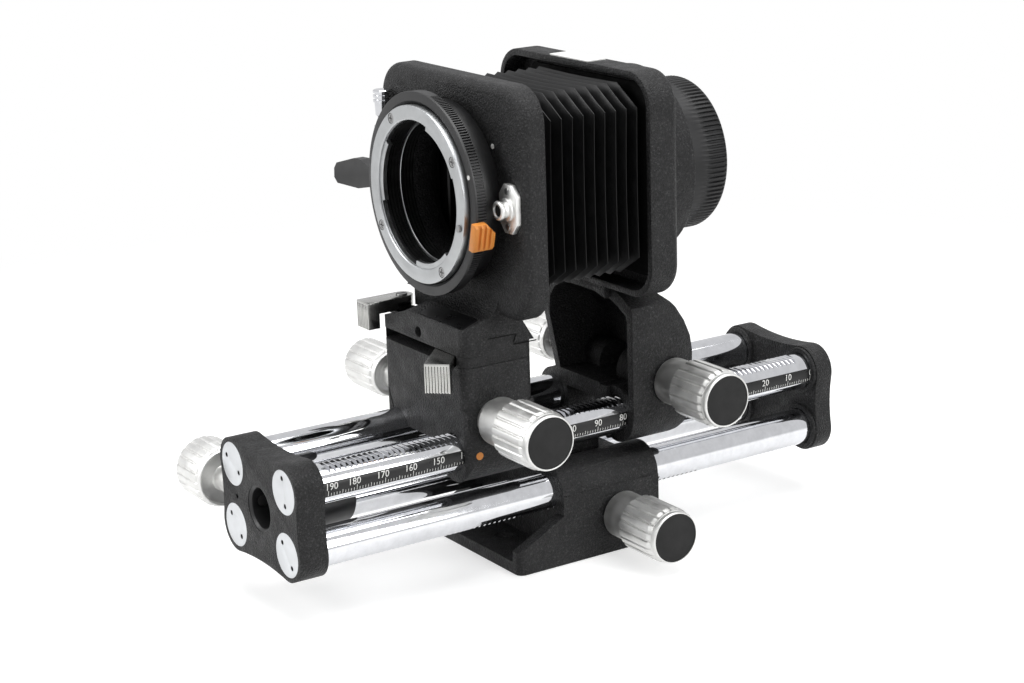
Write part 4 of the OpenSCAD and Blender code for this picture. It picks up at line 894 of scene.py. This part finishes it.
def pin_hole_floors(caps, face, out):
    """Dark discs of painted shade on the floors of the two pin holes in each end cap; each cap came to rest at its
    own angle.
    """
    from_centre, depth, shade_disc_height = 4.4, 1.2, 1.05
    for level, turns in (("upper", (152.7, 97.2)), ("lower", (134.6, 128.5))):
        low, high = box_in_mm(level + "_left_tube")
        for side, side_name, turn in zip((1, -1), ("left", "right"), turns):
            for sign, hole in ((-1, "a"), (1, "b")):
                dx, dz = on_circle(sign * from_centre, turn)
                at = (side * (low.x + high.x) / 2 + dx, face - out * depth, (low.z + high.z) / 2 + dz)
                small_disc(f"{caps}_{level}_{side_name}_hole_{hole}", at, (0, out, 0), 0.76, shade_disc_height, FLOCK_AND_PAINTED_SHADE,
                           "rails", vertices=20)


# Painted shade: dark discs in the pin holes of the front and the rear end caps
pin_hole_floors("front_cap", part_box("front_tube_caps")[0][1] / MM, -1)
pin_hole_floors("rear_cap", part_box("rear_tube_caps")[1][1] / MM, 1)
# Painted shade: a flat dark disc for the mouth of the cable socket
small_disc("cable_socket_mouth_shade", (35.2, FRONT_Y0 - 4.9, 123.4), SOUTH, 1.88, 0.1, FLOCK_AND_PAINTED_SHADE, "front_frame")


def lever_screw():
    """The shift lever's shoulder screw, with a low slotted head that lies nearly flush."""
    node = "shift_lever_screw"
    low, high = box_in_mm(node)
    x, y, seat = (low.x + high.x) / 2, (low.y + high.y) / 2, high.z - 0.9
    screw = rod(x, y, low.z, seat + 0.2, 1.5)
    combine(screw, rod(x, y, seat + 0.02, seat + 0.42, 1.9), "UNION")
    combine(screw, prism([(x - 0.3, y - 3), (x + 0.3, y - 3), (x + 0.3, y + 3), (x - 0.3, y + 3)],
                         seat + 0.22, seat + 1, "Z"), "DIFFERENCE")
    smooth(screw)
    own(screw, node + "_finished", STEEL, body_name(node))
    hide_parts(node)


lever_screw()
# Painted shade: thin dark strips for the narrow gap between the front block and the swing block, seen on the right
# side
for number, (y0, y1, z) in enumerate(((-45.2, -35.3, 80.9), (-35.6, -27.2, 77.5))):
    gap = prism([(y0, z - 0.14), (y1, z - 0.24), (y1, z + 0.06), (y0, z + 0.14)], 25.3, 25.54, "X")
    own(gap, "side_gap_shade_" + "ab"[number], FLOCK_AND_PAINTED_SHADE, "swing_block")
# The white dots of the release ring and the front frame, and the screws of the cable socket
dot_x, dot_z = on_circle(30.5, 18.7)
small_disc("release_ring_dot", (dot_x, FACE_Y + 1.65, AXIS_Z + dot_z), SOUTH, 0.75, 0.08, WHITE_INK,
           "release_ring")
small_disc("frame_index_dot", (25.2, FRONT_Y0, 141.0), SOUTH, 0.8, 0.12, WHITE_INK, "front_frame")
socket_screw("socket_screw_upper", 128.9, 70)
socket_screw("socket_screw_lower", 117.9, 20)


# ---- floor, backdrop and light ----

def stage_material(name, colour, glow, near, far):
    """White card. Seen by the camera or in a reflection, it glows a little, and fades to white further off."""
    material, tree = new_material(name)
    path = add_node(tree, "ShaderNodeLightPath")
    seen = add_node(tree, "ShaderNodeMath", None,
                    {0: path.outputs["Is Camera Ray"], 1: path.outputs["Is Glossy Ray"]}, operation="MAXIMUM")
    seen = add_node(tree, "ShaderNodeMath", None,
                    {0: seen.outputs[0], 1: path.outputs["Is Transmission Ray"]}, operation="MAXIMUM")
    power = add_node(tree, "ShaderNodeMath", {1: glow}, {0: seen.outputs[0]}, operation="MULTIPLY")
    card = add_node(tree, "ShaderNodeBsdfDiffuse", {"Color": to_linear(colour)})
    light = add_node(tree, "ShaderNodeEmission", {"Color": (1, 1, 1, 1)}, {"Strength": power.outputs[0]})
    both = add_node(tree, "ShaderNodeAddShader", None, {0: card.outputs[0], 1: light.outputs[0]})
    white = add_node(tree, "ShaderNodeEmission", {"Color": (1, 1, 1, 1)}, {"Strength": seen.outputs[0]})
    place = add_node(tree, "ShaderNodeTexCoord")
    away = add_node(tree, "ShaderNodeVectorMath", None, {0: place.outputs["Object"]}, operation="LENGTH")
    fade = add_node(tree, "ShaderNodeMapRange", {1: near, 2: far, 3: 0.0, 4: 1.0}, {0: away.outputs["Value"]},
                    interpolation_type="SMOOTHSTEP")
    mix = add_node(tree, "ShaderNodeMixShader", None,
                   {0: fade.outputs[0], 1: both.outputs[0], 2: white.outputs[0]})
    finish_material(tree, mix)
    return material


deselect()
bpy.ops.mesh.primitive_plane_add(size=12, location=(0, 0, -0.0003))
floor = bpy.context.object
floor.name = "floor"
floor.data.materials.append(stage_material("white_card_floor", "#c4c4c4", 0.6, 0.18, 0.5))

world = bpy.data.worlds.new("studio")
scene.world = world
world.use_nodes = True
tree = world.node_tree
tree.nodes.clear()
path = add_node(tree, "ShaderNodeLightPath")
place = add_node(tree, "ShaderNodeTexCoord")
split = add_node(tree, "ShaderNodeSeparateXYZ", None, {"Vector": place.outputs["Generated"]})
fade = add_node(tree, "ShaderNodeValToRGB", None, {"Fac": split.outputs["Z"]})
fade.color_ramp.elements[0].position = 0.0
fade.color_ramp.elements[0].color = (1.0, 1.0, 1.0, 1)
fade.color_ramp.elements[1].position = 0.75
fade.color_ramp.elements[1].color = (0.3, 0.3, 0.3, 1)
middle = fade.color_ramp.elements.new(0.12)
middle.color = (0.55, 0.55, 0.55, 1)
room = add_node(tree, "ShaderNodeBackground", {"Strength": 0.75}, {"Color": fade.outputs["Color"]})
white = add_node(tree, "ShaderNodeBackground", {"Color": (1, 1, 1, 1), "Strength": 1.0})
card = add_node(tree, "ShaderNodeBackground", {"Color": (0.86, 0.86, 0.87, 1), "Strength": 0.9})
soft = add_node(tree, "ShaderNodeMixShader", None,
                {0: path.outputs["Is Glossy Ray"], 1: room.outputs[0], 2: card.outputs[0]})
mix = add_node(tree, "ShaderNodeMixShader", None,
               {0: path.outputs["Is Camera Ray"], 1: soft.outputs[0], 2: white.outputs[0]})
out = add_node(tree, "ShaderNodeOutputWorld")
tree.links.new(mix.outputs[0], out.inputs["Surface"])


def soft_box(name, at, target, width, height, watts):
    data = bpy.data.lights.new(name, "AREA")
    data.shape = "RECTANGLE"
    data.size, data.size_y = width, height
    data.energy = watts
    lamp = bpy.data.objects.new(name, data)
    bpy.context.scene.collection.objects.link(lamp)
    aim = (Vector(target) - Vector(at)).to_track_quat("-Z", "Y")
    lamp.matrix_world = Matrix.Translation(at) @ aim.to_matrix().to_4x4()


soft_box("top_light", (0.1, 0.1, 1.1), (0, 0, 0.05), 1.0, 1.0, 14)
soft_box("left_light", (-0.5, -1.1, 0.7), (0, 0, 0.08), 0.5, 0.8, 9)
soft_box("right_light", (1.1, 0.35, 0.55), (0, 0, 0.08), 0.4, 0.8, 7)


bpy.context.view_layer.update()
